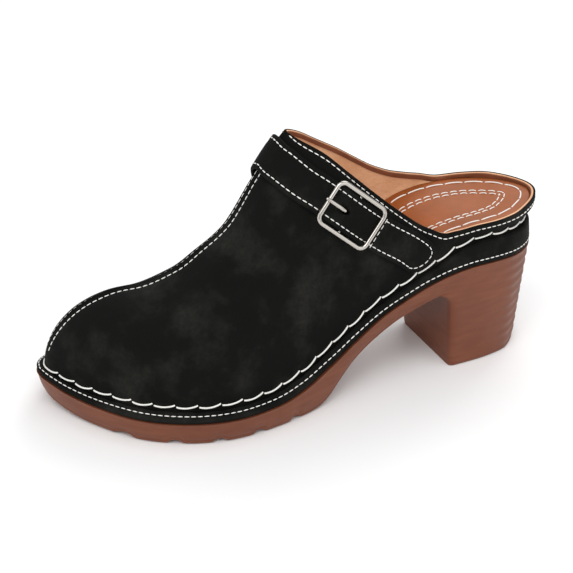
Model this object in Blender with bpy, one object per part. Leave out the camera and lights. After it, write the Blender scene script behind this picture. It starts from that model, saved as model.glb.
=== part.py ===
"""Block heel mule: one left shoe, built as a maker would put it together.

Metres, +Z up, +Y to the toe, +X to the wearer's right (the shoe's inner side). The origin is on
the floor under the middle of the heel's tread. Every piece is worked out from the outline, the
edge height and the section functions below, so a change of one size carries through the shoe.
"""
import math

import bmesh
import bpy
import numpy as np

# Overall form
SHOE_LENGTH = 0.248
BALL_WIDTH = 0.093
HEEL_SETBACK = 0.035
HEEL_HEIGHT = 0.054
FOREFOOT_THICKNESS = 0.012
TOE_SPRING = 0.005
TREAD_TOE_LIFT = 0.0065
INSTEP_HEIGHT = 0.125

# Sole; the notches start and end at shares of the length
SIDE_TUCK = 0.0003
TREAD_TUCK = 0.003
ARCH_TUCK = 0.0013
SIDE_LINE_HEIGHT = 0.0022
SIDE_LINE_STEP = 0.0005
NOTCH_COUNT = 5
NOTCH_START = 0.573
NOTCH_END = 0.895
NOTCH_WIDTH = 0.0035
NOTCH_SLOPE = 0.0015
NOTCH_DEPTH = 0.0018
HEEL_BREAST = 0.0195
HEEL_BREAST_LEAN = 0.05
HEEL_BREAST_RADIUS = 0.007
HEEL_CORNER_RADIUS = 0.0022
HEEL_TAPER_OUTER = 0.002
HEEL_TAPER_INNER = 0.0085
HEEL_TAPER_BACK = 0.0048
HEEL_TREAD_CHAMFER = 0.0008
HEEL_INNER_TUCK = 0.0012
HEEL_TOP_REBATE = 0.00025
RIB_COUNT = 10
RIB_DEPTH = 0.0009

# Stitched strip round the sole
RAND_WIDTH = 0.006
RAND_HEIGHT = 0.0118
RAND_THICKNESS = 0.0022

# Upper
UPPER_WALL = 0.002
HEEL_RIM_HEIGHT = 0.0215
RIM_FLARE = 0.0035
SEAM_RIDGE_HEIGHT = 0.0008

# Insole
INSOLE_THICKNESS = 0.0035
INSOLE_EDGE_DROP = 0.001
INSOLE_CUP = 0.0022
INSOLE_FORE_HEIGHT = 0.006

# Strap and buckle
STRAP_WIDTH = 0.0176
STRAP_THICKNESS = 0.0018
HUMP_REACH = 0.021
FRAME_LENGTH = 0.0300
FRAME_BAR = 0.0021
FRAME_CORNER = 0.0035
CENTRE_BAR = 0.0016
STRAP_SIDE_GAP = 0.0007
PRONG_WIDTH = 0.0019
PRONG_OVERHANG = 0.0022
PRONG_HOLE_FRONT = 0.0085
PRONG_HOLE_BACK = 0.0015

# Clearances
FIT_GAP = 0.0003
CORE_GAP = 0.0011

# How finely the forms are drawn
SOLE_STATIONS = 30
FORM_STATIONS = 38
THROAT_STEPS = (0.003, 0.010, 0.022)
UPPER_ROWS = 12
HEEL_COLUMNS = 12
RIB_ROWS = 4
STRAP_STEPS = 40
STRAP_ACROSS = 4
CURVE_STEPS = 24

# The sole's outline from above, clockwise from the middle of the heel's back, outer side first:
# along is a share of the length from the back, across a share of the ball width.
OUTLINE = [
    (0.000, -0.020), (0.020, -0.150), (0.067, -0.258), (0.133, -0.310), (0.254, -0.328),
    (0.375, -0.347), (0.496, -0.411), (0.597, -0.484), (0.698, -0.511), (0.782, -0.462),
    (0.867, -0.325), (0.935, -0.102), (0.977, 0.091), (0.996, 0.240), (0.970, 0.385),
    (0.907, 0.473), (0.806, 0.489), (0.706, 0.452), (0.589, 0.366), (0.460, 0.317),
    (0.323, 0.317), (0.181, 0.317), (0.085, 0.269), (0.022, 0.129),
]

# Top edge of the sole's side: ramp is a share of the heel's rise, spring of the toe's.
EDGE_COLUMNS = ("along", "ramp", "spring")
EDGE = [
    (0.000, 0.950, 0.00), (0.069, 0.975, 0.00), (0.171, 1.000, 0.00), (0.216, 0.975, 0.00),
    (0.272, 0.900, 0.00), (0.323, 0.790, 0.00), (0.384, 0.635, 0.00), (0.443, 0.440, 0.00),
    (0.500, 0.248, 0.00), (0.560, 0.098, 0.00), (0.625, 0.020, 0.00), (0.711, 0.000, 0.00),
    (0.825, 0.000, 0.03), (0.923, 0.000, 0.16), (0.967, 0.000, 0.46), (1.000, 0.000, 1.00),
]

# Underside of the sole ahead of the heel: arch is a share of the heel's height, toe of the toe lift.
UNDER_COLUMNS = ("along", "arch", "toe")
UNDER = [
    (0.000, 0.760, 0.00), (0.240, 0.770, 0.00), (0.280, 0.730, 0.00), (0.335, 0.635, 0.00),
    (0.384, 0.515, 0.00), (0.437, 0.350, 0.00), (0.475, 0.170, 0.00), (0.495, 0.070, 0.00),
    (0.508, 0.028, 0.00), (0.522, 0.008, 0.00), (0.535, 0.000, 0.00), (0.895, 0.000, 0.00),
    (0.930, 0.000, 0.04), (0.960, 0.000, 0.18), (0.985, 0.000, 0.52), (1.000, 0.000, 1.00),
]

# The stitched strip: angle in degrees from lying flat, upright moves it from its width to its
# height, narrow is its width as a share.
RAND_COLUMNS = ("along", "angle", "upright", "narrow")
RAND = [
    (0.000, 86, 1.00, 1.00), (0.150, 86, 1.00, 1.00), (0.210, 85, 0.72, 1.00),
    (0.270, 80, 0.15, 0.95), (0.340, 72, 0.00, 0.88), (0.420, 58, 0.00, 0.85),
    (0.500, 38, 0.00, 0.88), (0.620, 15, 0.00, 1.00), (0.860, 12, 0.00, 1.00),
    (0.930, 14, 0.00, 0.80), (1.000, 18, 0.00, 0.42),
]

# Sections of the upper: ridge is its crown as a share of the instep height, seam the crown's
# place from outer to inner side, outer and inner the fullness of the section's two sides.
SECTION_COLUMNS = ("along", "ridge", "seam", "outer", "inner")
SECTION = [
    (0.000, 1.300, 0.50, 2.00, 2.00), (0.150, 1.320, 0.55, 2.00, 2.00),
    (0.300, 1.280, 0.60, 2.00, 2.00), (0.420, 1.150, 0.62, 2.00, 2.00),
    (0.514, 1.000, 0.64, 1.95, 1.95), (0.578, 0.832, 0.64, 2.00, 1.90),
    (0.633, 0.662, 0.64, 2.10, 1.80), (0.687, 0.574, 0.64, 2.20, 1.75),
    (0.735, 0.509, 0.64, 2.30, 1.75), (0.820, 0.458, 0.63, 2.40, 1.75),
    (0.910, 0.452, 0.58, 2.40, 1.80), (1.000, 0.450, 0.50, 2.40, 1.90),
]
TOE_ROUND_START = 0.84
TOE_ROUND_POWER = 2.05

# Top edge of the upper behind the throat, as a share of the rise from the heel rim to the throat.
THROAT = 0.514
TOPLINE_COLUMNS = ("along", "outer", "inner")
TOPLINE = [
    (0.000, 0.08, 0.08), (0.040, 0.06, 0.08), (0.090, 0.02, 0.05), (0.140, 0.00, 0.03),
    (0.190, 0.00, 0.09), (0.240, 0.02, 0.19), (0.283, 0.15, 0.32), (0.339, 0.395, 0.53),
    (0.385, 0.60, 0.69), (0.430, 0.785, 0.82), (0.474, 0.93, 0.93), (0.514, 1.00, 1.00),
]
FLARE_COLUMNS = ("along", "flare")
FLARE = [(0.00, 1.50), (0.06, 1.15), (0.20, 1.00), (0.30, 0.70), (0.45, 0.00), (1.00, 0.00)]

# Footbed height over the sole's edge, as a share of the heel rim's height.
FOOTBED_COLUMNS = ("along", "height")
FOOTBED = [
    (0.00, 1.17), (0.06, 1.13), (0.12, 1.05), (0.20, 1.00), (0.24, 0.98), (0.32, 0.80),
    (0.45, 0.45), (0.60, 0.28), (1.00, 0.26),
]

# The strap's middle line on the upper: turn runs 0 at the outer base, 1 on the crown, 2 at the
# inner base.
STRAP_COLUMNS = ("along", "turn")
STRAP = [
    (0.281, 0.065), (0.325, 0.143), (0.370, 0.219), (0.402, 0.286), (0.440, 0.379),
    (0.482, 0.508), (0.519, 0.656), (0.536, 0.782), (0.545, 0.914), (0.546, 1.080),
    (0.536, 1.300), (0.507, 1.560), (0.479, 1.780), (0.471, 1.850),
]
BUCKLE_AT = (0.440, 0.379)

COLOURS = {
    "sole": ((0.215, 0.078, 0.042), 0.55, 0.0),
    "rand": ((0.010, 0.010, 0.008), 0.85, 0.0),
    "upper": ((0.012, 0.012, 0.010), 0.9, 0.0),
    "insole": ((0.42, 0.155, 0.055), 0.6, 0.0),
    "strap": ((0.011, 0.011, 0.009), 0.88, 0.0),
    "metal": ((0.78, 0.77, 0.74), 0.2, 1.0),
}


def smooth_through(xs, ys, x):
    """Smooth curve through table points that never overshoots them."""
    xs, ys, x = np.asarray(xs, float), np.asarray(ys, float), np.asarray(x, float)
    step = np.diff(xs)
    rise = np.diff(ys) / step
    slope = np.zeros_like(ys)
    slope[0], slope[-1] = rise[0], rise[-1]
    for i in range(1, len(xs) - 1):
        if rise[i - 1] * rise[i] > 0:
            near, far = 2 * step[i] + step[i - 1], step[i] + 2 * step[i - 1]
            slope[i] = (near + far) / (near / rise[i - 1] + far / rise[i])
    x = np.clip(x, xs[0], xs[-1])
    i = np.clip(np.searchsorted(xs, x, side="right") - 1, 0, len(xs) - 2)
    t = (x - xs[i]) / step[i]
    start = (1 + 2 * t) * (1 - t) ** 2 * ys[i] + t * (1 - t) ** 2 * step[i] * slope[i]
    end = t * t * (3 - 2 * t) * ys[i + 1] + t * t * (t - 1) * step[i] * slope[i + 1]
    return start + end


def read(table, names, name, at):
    """Value of one named column of a table at a share of the length."""
    column = names.index(name)
    return smooth_through([row[0] for row in table], [row[column] for row in table], at)


def smooth_step(low, high, x):
    t = np.clip((np.asarray(x, float) - low) / (high - low), 0, 1)
    return t * t * (3 - 2 * t)


def closed_curve(points):
    """Closed smooth curve through the points, evenly stepped in each span."""
    p = np.asarray(points, float)
    count = len(p)
    out = []
    for i in range(count):
        a, b, c, d = p[i - 1], p[i], p[(i + 1) % count], p[(i + 2) % count]
        ab, bc, cd = math.dist(a, b) ** 0.5, math.dist(b, c) ** 0.5, math.dist(c, d) ** 0.5
        leave = (c - b) - bc * (c - a) / (ab + bc) + bc * (b - a) / ab
        arrive = (c - b) - bc * (d - b) / (bc + cd) + bc * (d - c) / cd
        for t in np.arange(CURVE_STEPS) / CURVE_STEPS:
            out.append((2 * t**3 - 3 * t**2 + 1) * b + (t**3 - 2 * t**2 + t) * leave
                       + (-2 * t**3 + 3 * t**2) * c + (t**3 - t**2) * arrive)
    return np.array(out)


def outline_halves():
    """Outer and inner half of the outline from heel to toe, each with its inward directions."""
    curve = closed_curve([(across * BALL_WIDTH, along * SHOE_LENGTH - HEEL_SETBACK)
                          for along, across in OUTLINE])
    ahead = np.roll(curve, -1, 0) - np.roll(curve, 1, 0)
    ahead /= np.linalg.norm(ahead, axis=1)[:, None]
    inward = np.stack([ahead[:, 1], -ahead[:, 0]], 1)
    toe = int(np.argmax(curve[:, 1]))
    outer = np.arange(0, toe + 1)
    inner = np.r_[0, np.arange(len(curve) - 1, toe - 1, -1)]
    return {-1: (curve[outer], inward[outer]), 1: (curve[inner], inward[inner])}


HALVES = outline_halves()


def share(y):
    return (np.asarray(y, float) + HEEL_SETBACK) / SHOE_LENGTH


def station_y(s):
    return np.asarray(s, float) * SHOE_LENGTH - HEEL_SETBACK


def side_point(s, side, inset=0.0):
    """Outline point on one side (-1 outer, +1 inner) moved inwards, and its inward direction."""
    curve, inward = HALVES[side]
    steps = np.arange(len(curve))
    climb = np.maximum.accumulate(curve[:, 1]) + steps * 1e-9
    i = np.interp(climb[0] + np.asarray(s, float) * (climb[-1] - climb[0]), climb, steps)
    p = np.stack([np.interp(i, steps, curve[:, k]) for k in (0, 1)], -1)
    n = np.stack([np.interp(i, steps, inward[:, k]) for k in (0, 1)], -1)
    n /= np.linalg.norm(n, axis=-1)[..., None]
    inset = np.asarray(inset(p[..., 1]) if callable(inset) else inset, float)
    return p + n * np.broadcast_to(inset, p.shape[:-1])[..., None], n


def edge_height(y):
    ramp = read(EDGE, EDGE_COLUMNS, "ramp", share(y))
    spring = read(EDGE, EDGE_COLUMNS, "spring", share(y))
    return FOREFOOT_THICKNESS + (HEEL_HEIGHT - FOREFOOT_THICKNESS) * ramp + TOE_SPRING * spring


def under_height(y):
    arch = read(UNDER, UNDER_COLUMNS, "arch", share(y))
    toe = read(UNDER, UNDER_COLUMNS, "toe", share(y))
    return HEEL_HEIGHT * arch + TREAD_TOE_LIFT * toe


def rim_height(y):
    return edge_height(y) + HEEL_RIM_HEIGHT


def rand_angle(y):
    return np.radians(read(RAND, RAND_COLUMNS, "angle", share(y)))


def rand_width(y):
    upright = read(RAND, RAND_COLUMNS, "upright", share(y))
    narrow = read(RAND, RAND_COLUMNS, "narrow", share(y))
    return (RAND_WIDTH + (RAND_HEIGHT - RAND_WIDTH) * upright) * narrow


def upper_inset(y):
    """How far the upper's outer face stands inside the sole's edge, clear of the strip."""
    angle = rand_angle(y)
    return rand_width(y) * np.cos(angle) + RAND_THICKNESS * np.sin(angle) + 1.5 * FIT_GAP


def section(s, side, deeper=0.0):
    """One side of the upper's sections: base, its inward direction, crown and curve."""
    base, inward = side_point(s, side, lambda y: upper_inset(y) + deeper)
    other, _ = side_point(s, -side, lambda y: upper_inset(y) + deeper)
    outer, inner = (base, other) if side < 0 else (other, base)
    seam = read(SECTION, SECTION_COLUMNS, "seam", s)
    pull = np.stack([seam, 0.5 + 0 * seam], -1)
    crown = outer + (inner - outer) * pull
    foot = edge_height(base[..., 1]) + FIT_GAP
    floor = edge_height(crown[..., 1]) + FIT_GAP
    full = INSTEP_HEIGHT * read(SECTION, SECTION_COLUMNS, "ridge", s) - deeper
    t = np.clip((s - TOE_ROUND_START) / (1 - TOE_ROUND_START), 0, 1)
    top = floor + (full - floor) * (1 - t ** TOE_ROUND_POWER) ** (1 / TOE_ROUND_POWER)
    power = 2 / read(SECTION, SECTION_COLUMNS, "outer" if side < 0 else "inner", s)
    return base, inward, crown, foot, top, power


def upper_point(s, side, angle, deeper=0.0):
    """Point of the upper at an angle of its section, 0 at the base and a right angle on the crown."""
    base, inward, crown, foot, top, power = section(s, side, deeper)
    reach = 1 - np.clip(np.cos(angle), 0, 1) ** power
    rise = (top - foot) * np.clip(np.sin(angle), 0, 1) ** power
    flare = RIM_FLARE * read(FLARE, FLARE_COLUMNS, "flare", s)
    clear = RAND_HEIGHT + FIT_GAP
    climb = np.clip((rise - clear) / (HEEL_RIM_HEIGHT - clear), 0, 1)
    lean = flare * climb * climb * (3 - 2 * climb)
    xy = base + (crown - base) * reach[..., None] - inward * lean[..., None]
    return np.concatenate([xy, (foot + rise)[..., None]], -1)


def topline_angle(s, side, deeper=0.0):
    """Angle of the section where the upper's top edge cuts it."""
    _, _, _, foot, top, power = section(s, side, deeper)
    rise = read(TOPLINE, TOPLINE_COLUMNS, "outer" if side < 0 else "inner", s)
    low = rim_height(station_y(s))
    edge = low + (INSTEP_HEIGHT - low) * rise
    ratio = np.clip((edge - foot) / np.maximum(top - foot, 1e-6), 0, 1)
    return np.where(s >= THROAT, math.pi / 2, np.arcsin(ratio ** (1 / power)))


def wall_at_height(s, side, z, deeper):
    """Point of the upper's face at a height, with its inward direction."""
    base, inward, crown, foot, top, power = section(s, side, deeper)
    ratio = np.clip((z - foot) / np.maximum(top - foot, 1e-6), 0, 1)
    angle = np.arcsin(ratio ** (1 / power))
    return upper_point(s, side, angle, deeper), inward


def even_stations(count):
    """Shares of the length that crowd towards heel and toe, where the outline turns."""
    return 0.5 - 0.5 * np.cos(np.linspace(0, math.pi, count + 1))


class Shell:
    """Collects points and faces; equal points are stored once, and folded faces are dropped."""

    def __init__(self):
        self.points, self.places, self.faces = [], {}, []

    def point(self, p):
        key = tuple(int(round(float(c) * 1e7)) for c in p)
        if key not in self.places:
            self.places[key] = len(self.points)
            self.points.append(tuple(float(c) for c in p))
        return self.places[key]

    def face(self, corners):
        ids = [self.point(p) for p in corners]
        ids = [a for i, a in enumerate(ids) if a != ids[i - 1]]
        if len(set(ids)) >= 3:
            self.faces.append(ids)

    def grid(self, rows):
        for low, high in zip(rows[:-1], rows[1:]):
            for i in range(len(low) - 1):
                self.face([low[i], low[i + 1], high[i + 1], high[i]])

    def ring(self, rows):
        self.grid([list(row) + [row[0]] for row in rows])


def material(name):
    colour, roughness, metallic = COLOURS[name]
    made = bpy.data.materials.new(name)
    made.use_nodes = True
    shader = made.node_tree.nodes["Principled BSDF"]
    shader.inputs["Base Color"].default_value = (*colour, 1)
    shader.inputs["Roughness"].default_value = roughness
    shader.inputs["Metallic"].default_value = metallic
    return made


def add_object(name, shell, finish):
    """Object from a shell, its faces turned outwards and its round parts shaded smooth."""
    mesh = bpy.data.meshes.new(name)
    mesh.from_pydata(shell.points, [], shell.faces)
    tidy = bmesh.new()
    tidy.from_mesh(mesh)
    bmesh.ops.triangulate(tidy, faces=tidy.faces[:])
    bmesh.ops.recalc_face_normals(tidy, faces=tidy.faces[:])
    tidy.to_mesh(mesh)
    tidy.free()
    mesh.shade_smooth()
    mesh.set_sharp_from_angle(angle=math.radians(35))
    made = bpy.data.objects.new(name, mesh)
    made.data.materials.append(material(finish))
    bpy.context.scene.collection.objects.link(made)
    return made


def combine(target, tool, operation):
    """Cut or join target with tool, which becomes a hidden guide."""
    step = target.modifiers.new(operation.title(), "BOOLEAN")
    step.operation = operation
    step.solver = "EXACT"
    step.object = tool
    tool.hide_render = True
    tool.display_type = "WIRE"


def ring_levels(stations, levels):
    """Outer and inner rows for a stack of levels; each level gives its inset and its height."""
    rows = {-1: [], 1: []}
    for inset, height in levels:
        for side in (-1, 1):
            p, _ = side_point(stations, side, inset)
            z = np.broadcast_to(height(p[:, 1]), stations.shape)
            rows[side].append(np.concatenate([p, z[:, None]], 1))
    return rows


def notch_edges():
    """Height steps of the tread's notches as (y, depth) pairs along the forefoot."""
    edges = []
    for i in range(NOTCH_COUNT):
        middle = station_y(NOTCH_START + (NOTCH_END - NOTCH_START) * i / (NOTCH_COUNT - 1))
        half = NOTCH_WIDTH / 2
        edges += [(middle - half - NOTCH_SLOPE, 0.0), (middle - half, NOTCH_DEPTH),
                  (middle + half, NOTCH_DEPTH), (middle + half + NOTCH_SLOPE, 0.0)]
    return edges


def sole_stations():
    edges = share([y for y, _ in notch_edges()])
    near = 0.006
    kept = [s for s in even_stations(SOLE_STATIONS) if np.min(np.abs(edges - s)) > near or s in (0, 1)]
    return np.sort(np.concatenate([kept, edges]))


def tread_height(y):
    """Underside with its notches."""
    ys = [-HEEL_SETBACK] + [e[0] for e in notch_edges()] + [station_y(1.0)]
    depth = [0.0] + [e[1] for e in notch_edges()] + [0.0]
    return under_height(y) + np.interp(y, ys, depth)


def side_tuck(y):
    """The platform's side: inside the heel block behind, near the edge ahead of it."""
    ahead = smooth_step(HEEL_BREAST - 0.001, HEEL_BREAST + 0.009, y)
    return HEEL_INNER_TUCK + (SIDE_TUCK - HEEL_INNER_TUCK) * ahead


def tread_tuck(y):
    """How far the lower edge of the side leans in: less at the heel than at the forefoot."""
    ahead = smooth_step(HEEL_BREAST, HEEL_BREAST + 0.06, y)
    return side_tuck(y) + ARCH_TUCK + (TREAD_TUCK - ARCH_TUCK) * ahead


def insole_top(y):
    """Height of the footbed's edge."""
    heel = HEEL_RIM_HEIGHT - INSOLE_EDGE_DROP
    level = read(FOOTBED, FOOTBED_COLUMNS, "height", share(y))
    fore = INSOLE_FORE_HEIGHT / heel
    low = FOOTBED[-1][1]
    level = fore + (level - low) * (1 - fore) / (1 - low)
    return edge_height(y) + heel * level


def core_top(y):
    return insole_top(y) - INSOLE_THICKNESS - INSOLE_CUP - 2 * FIT_GAP


def core_inset(y):
    return upper_inset(y) + UPPER_WALL + CORE_GAP


def make_platform():
    """Forefoot, arch and the core that fills the upper's foot, as one closed body."""
    stations = sole_stations()
    y = station_y(stations)
    under = tread_height(y)
    edge = edge_height(y)
    line = np.minimum(under + SIDE_LINE_HEIGHT, (under + edge) / 2)
    levels = [
        (tread_tuck, lambda v: under),
        (lambda v: side_tuck(v) + (tread_tuck(v) - side_tuck(v)) / 2 + SIDE_LINE_STEP, lambda v: line),
        (lambda v: (tread_tuck(v) + side_tuck(v)) / 2, lambda v: line + SIDE_LINE_STEP),
        (side_tuck, edge_height),
        (core_inset, edge_height),
        (core_inset, core_top),
    ]
    rows = ring_levels(stations, levels)
    shell = Shell()
    for side in (-1, 1):
        shell.grid(rows[side])
    shell.grid([rows[-1][0], rows[1][0]])
    shell.grid([rows[-1][-1], rows[1][-1]])
    return add_object("sole", shell, "sole")


def breast_line(z):
    """The heel's front face: leaning, and sweeping into the arch near its top."""
    spring = under_height(HEEL_BREAST + HEEL_BREAST_RADIUS) - HEEL_BREAST_RADIUS
    climb = np.clip((z - spring) / HEEL_BREAST_RADIUS, 0, 1)
    sweep = HEEL_BREAST_RADIUS * (1 - math.sqrt(max(0.0, 1 - climb * climb)))
    return HEEL_BREAST + HEEL_BREAST_LEAN * z + sweep


def heel_ring(level):
    """One closed ring of the heel block; level runs 0 at the tread to 1 at the sole's edge."""
    z = level * HEEL_HEIGHT
    front = breast_line(z)
    turn = np.linspace(0, 1, HEEL_COLUMNS + 1)
    back = share(front - HEEL_CORNER_RADIUS) * (1 - np.sin(turn * math.pi / 2))
    ring = []
    for side, order in ((-1, back), (1, back[::-1])):
        p, inward = side_point(order, side)
        facing_back = smooth_step(0.15, 0.8, inward[:, 1])
        taper_side = HEEL_TAPER_OUTER if side < 0 else HEEL_TAPER_INNER
        taper = taper_side + (HEEL_TAPER_BACK - taper_side) * smooth_step(0.3, 0.9, inward[:, 1])
        wave = 0.5 - 0.5 * math.cos(2 * math.pi * RIB_COUNT * level)
        inset = taper * (1 - level) + RIB_DEPTH * wave * facing_back
        if level == 0:
            inset = inset + HEEL_TREAD_CHAMFER
        height = level * (edge_height(p[:, 1]) - HEEL_TOP_REBATE)
        p = p + inward * inset[:, None]
        ring.append(np.concatenate([p, height[:, None]], 1))
    outer, inner = ring
    top = level * (edge_height(front) - HEEL_TOP_REBATE)
    r = HEEL_CORNER_RADIUS
    corner_in = [(inner[-1][0] - 0.3 * r, front - 0.3 * r, top), (inner[-1][0] - r, front, top)]
    corner_out = [(outer[0][0] + r, front, top), (outer[0][0] + 0.3 * r, front - 0.3 * r, top)]
    return outer[:-1].tolist() + inner.tolist() + corner_in + corner_out


def make_heel():
    """The block under the heel, with the ribs moulded across its back."""
    steps = RIB_COUNT * RIB_ROWS
    levels = [0.0, HEEL_TREAD_CHAMFER / HEEL_HEIGHT] + [i / steps for i in range(1, steps + 1)]
    rings = [heel_ring(level) for level in levels]
    shell = Shell()
    shell.ring(rings)
    for ring in (rings[0], rings[-1]):
        last = len(ring) - 1
        for i in range((len(ring) - 1) // 2):
            shell.face([ring[i], ring[i + 1], ring[last - 1 - i], ring[last - i]])
    return add_object("heel_block", shell, "sole")


def make_sole():
    sole = make_platform()
    combine(sole, make_heel(), "UNION")
    return sole


def make_rand():
    """The stitched strip: a flange at the forefoot that turns upright round the heel."""
    stations = even_stations(FORM_STATIONS)
    shell = Shell()
    for side in (-1, 1):
        p, inward = side_point(stations, side)
        y = p[:, 1]
        angle, width, foot = rand_angle(y), rand_width(y), edge_height(y) + FIT_GAP
        run, lift = np.cos(angle), np.sin(angle)
        t = RAND_THICKNESS
        corners = [(0 * run, t * run), (width * run, t * run + width * lift),
                   (width * run + t * lift, width * lift), (t * lift, 0 * run)]
        rows = []
        for reach, rise in corners:
            xy = p + inward * reach[:, None]
            rows.append(np.concatenate([xy, (foot + rise)[:, None]], 1))
        shell.grid(rows + [rows[0]])
    return add_object("rand", shell, "rand")


def upper_rows(stations, deeper):
    """Rows of points up both sides of the upper, from its base to its top edge or crown."""
    rows = {-1: [], 1: []}
    for side in (-1, 1):
        top = topline_angle(stations, side, deeper)
        for row in range(UPPER_ROWS + 1):
            rows[side].append(upper_point(stations, side, top * row / UPPER_ROWS, deeper))
    return rows


def upper_stations():
    s = even_stations(FORM_STATIONS)
    s[np.argmin(np.abs(s - THROAT))] = THROAT
    return np.sort(np.concatenate([s, THROAT - np.array(THROAT_STEPS)]))


def make_upper():
    """Vamp, quarters and low heel rim as one hollow wall, open behind, on top and below."""
    stations = upper_stations()
    throat = int(np.argmin(np.abs(stations - THROAT)))
    outside, inside = upper_rows(stations, 0.0), upper_rows(stations, UPPER_WALL)
    lift_seam(outside, stations, throat)
    shell = Shell()
    for side in (-1, 1):
        shell.grid(outside[side])
        shell.grid(inside[side])
        shell.grid([outside[side][0], inside[side][0]])
        shell.grid([outside[side][-1][:throat + 1], inside[side][-1][:throat + 1]])
    return add_object("upper", shell, "upper")


def lift_seam(rows, stations, throat):
    """Raise the crown row into the vamp's centre seam, a ridge that dies out at the toe's edge."""
    lift = SEAM_RIDGE_HEIGHT * smooth_step(1.0, 0.97, stations[throat:])
    for side in (-1, 1):
        rows[side][-1] = rows[side][-1].copy()
        rows[side][-1][throat:, 2] += lift


def make_insole():
    """The cupped footbed, sewn in level with the heel rim."""
    stations = even_stations(FORM_STATIONS)
    sides = {}
    for side in (-1, 1):
        p, _ = side_point(stations, side, core_inset)
        z = insole_top(p[:, 1])
        wall, inward = wall_at_height(stations, side, z, UPPER_WALL)
        lower, _ = wall_at_height(stations, side, z - INSOLE_THICKNESS, UPPER_WALL)
        room = 2 * FIT_GAP
        sides[side] = (np.concatenate([wall[:, :2] + inward * room, z[:, None]], 1),
                       np.concatenate([lower[:, :2] + inward * room,
                                       (z - INSOLE_THICKNESS)[:, None]], 1))
    shell = Shell()
    cup = INSOLE_CUP * smooth_step(0.0, 0.12, stations) * smooth_step(1.0, 0.88, stations)
    for level in (0, 1):
        outer, inner = sides[-1][level], sides[1][level]
        rows = []
        for across in (0.0, 0.2, 0.5, 0.8, 1.0):
            row = outer + (inner - outer) * across
            row[:, 2] -= cup * math.sin(math.pi * across)
            rows.append(row)
        shell.grid(rows)
    for side in (-1, 1):
        shell.grid([sides[side][0], sides[side][1]])
    return add_object("insole", shell, "insole")


def on_upper(s, turn):
    """Point of the upper's outer face; turn runs over the crown from outer to inner base."""
    side = -1 if turn <= 1 else 1
    angle = (turn if turn <= 1 else 2 - turn) * math.pi / 2
    return upper_point(np.array([s]), side, np.array([angle]))[0]


def upper_frame(s, turn):
    """Point, the two surface directions and the outward normal at a place on the upper."""
    step = 2e-3
    here = on_upper(s, turn)
    along = (on_upper(s + step, turn) - on_upper(s - step, turn)) / (2 * step)
    around = (on_upper(s, turn + step) - on_upper(s, turn - step)) / (2 * step)
    normal = np.cross(around, along)
    normal /= np.linalg.norm(normal)
    return here, along, around, normal


def step_on_upper(s, turn, move):
    """Place on the upper that lies a short 3-D move away, found by two corrections."""
    target = on_upper(s, turn) + move
    for _ in range(3):
        here, along, around, _ = upper_frame(s, turn)
        basis = np.stack([along, around], 1)
        change, *_ = np.linalg.lstsq(basis, target - here, rcond=None)
        s, turn = s + change[0], turn + change[1]
    return s, turn


def strap_line():
    """Middle line of the strap: evenly stepped places on the upper with distances from the tail."""
    rows = np.array(STRAP)
    knots = np.array([on_upper(s, t) for s, t in rows])
    length = np.r_[0, np.cumsum(np.linalg.norm(np.diff(knots, axis=0), axis=1))]
    places = []
    for d in np.linspace(0, length[-1], 4 * STRAP_STEPS):
        places.append([smooth_through(length, rows[:, 0], d), smooth_through(length, rows[:, 1], d)])
    points = np.array([on_upper(s, t) for s, t in places])
    run = np.r_[0, np.cumsum(np.linalg.norm(np.diff(points, axis=0), axis=1))]
    return np.array(places), run


def strap_place(places, run, distance):
    return (float(np.interp(distance, run, places[:, 0])), float(np.interp(distance, run, places[:, 1])))


def buckle_distance(places, run):
    """Distance from the tail to the buckle's middle."""
    gap = np.linalg.norm(places - np.array(BUCKLE_AT), axis=1)
    return float(run[int(np.argmin(gap))])


def strap_lift(distance, middle):
    """Extra height of the strap where it rides over the buckle's centre bar, as a low hump."""
    near = 1 - smooth_step(CENTRE_BAR * 0.6, HUMP_REACH, abs(distance - middle))
    return (CENTRE_BAR + 2 * FIT_GAP) * near


def seam_lift(turn):
    """Extra height of the strap where it crosses the vamp's raised seam."""
    return SEAM_RIDGE_HEIGHT * (1 - smooth_step(0.08, 0.35, abs(turn - 1)))


def buckle_frame_axes():
    """Middle of the buckle on the upper with its directions: up the strap, across it, outwards."""
    places, run = strap_line()
    middle = buckle_distance(places, run)
    here = on_upper(*strap_place(places, run, middle))
    reach = FRAME_LENGTH / 2
    ahead = on_upper(*strap_place(places, run, middle + reach))
    behind = on_upper(*strap_place(places, run, middle - reach))
    _, _, _, normal = upper_frame(*strap_place(places, run, middle))
    up = ahead - behind
    up -= normal * np.dot(up, normal)
    up /= np.linalg.norm(up)
    across = np.cross(normal, up)
    return here, up, across, normal


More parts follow.
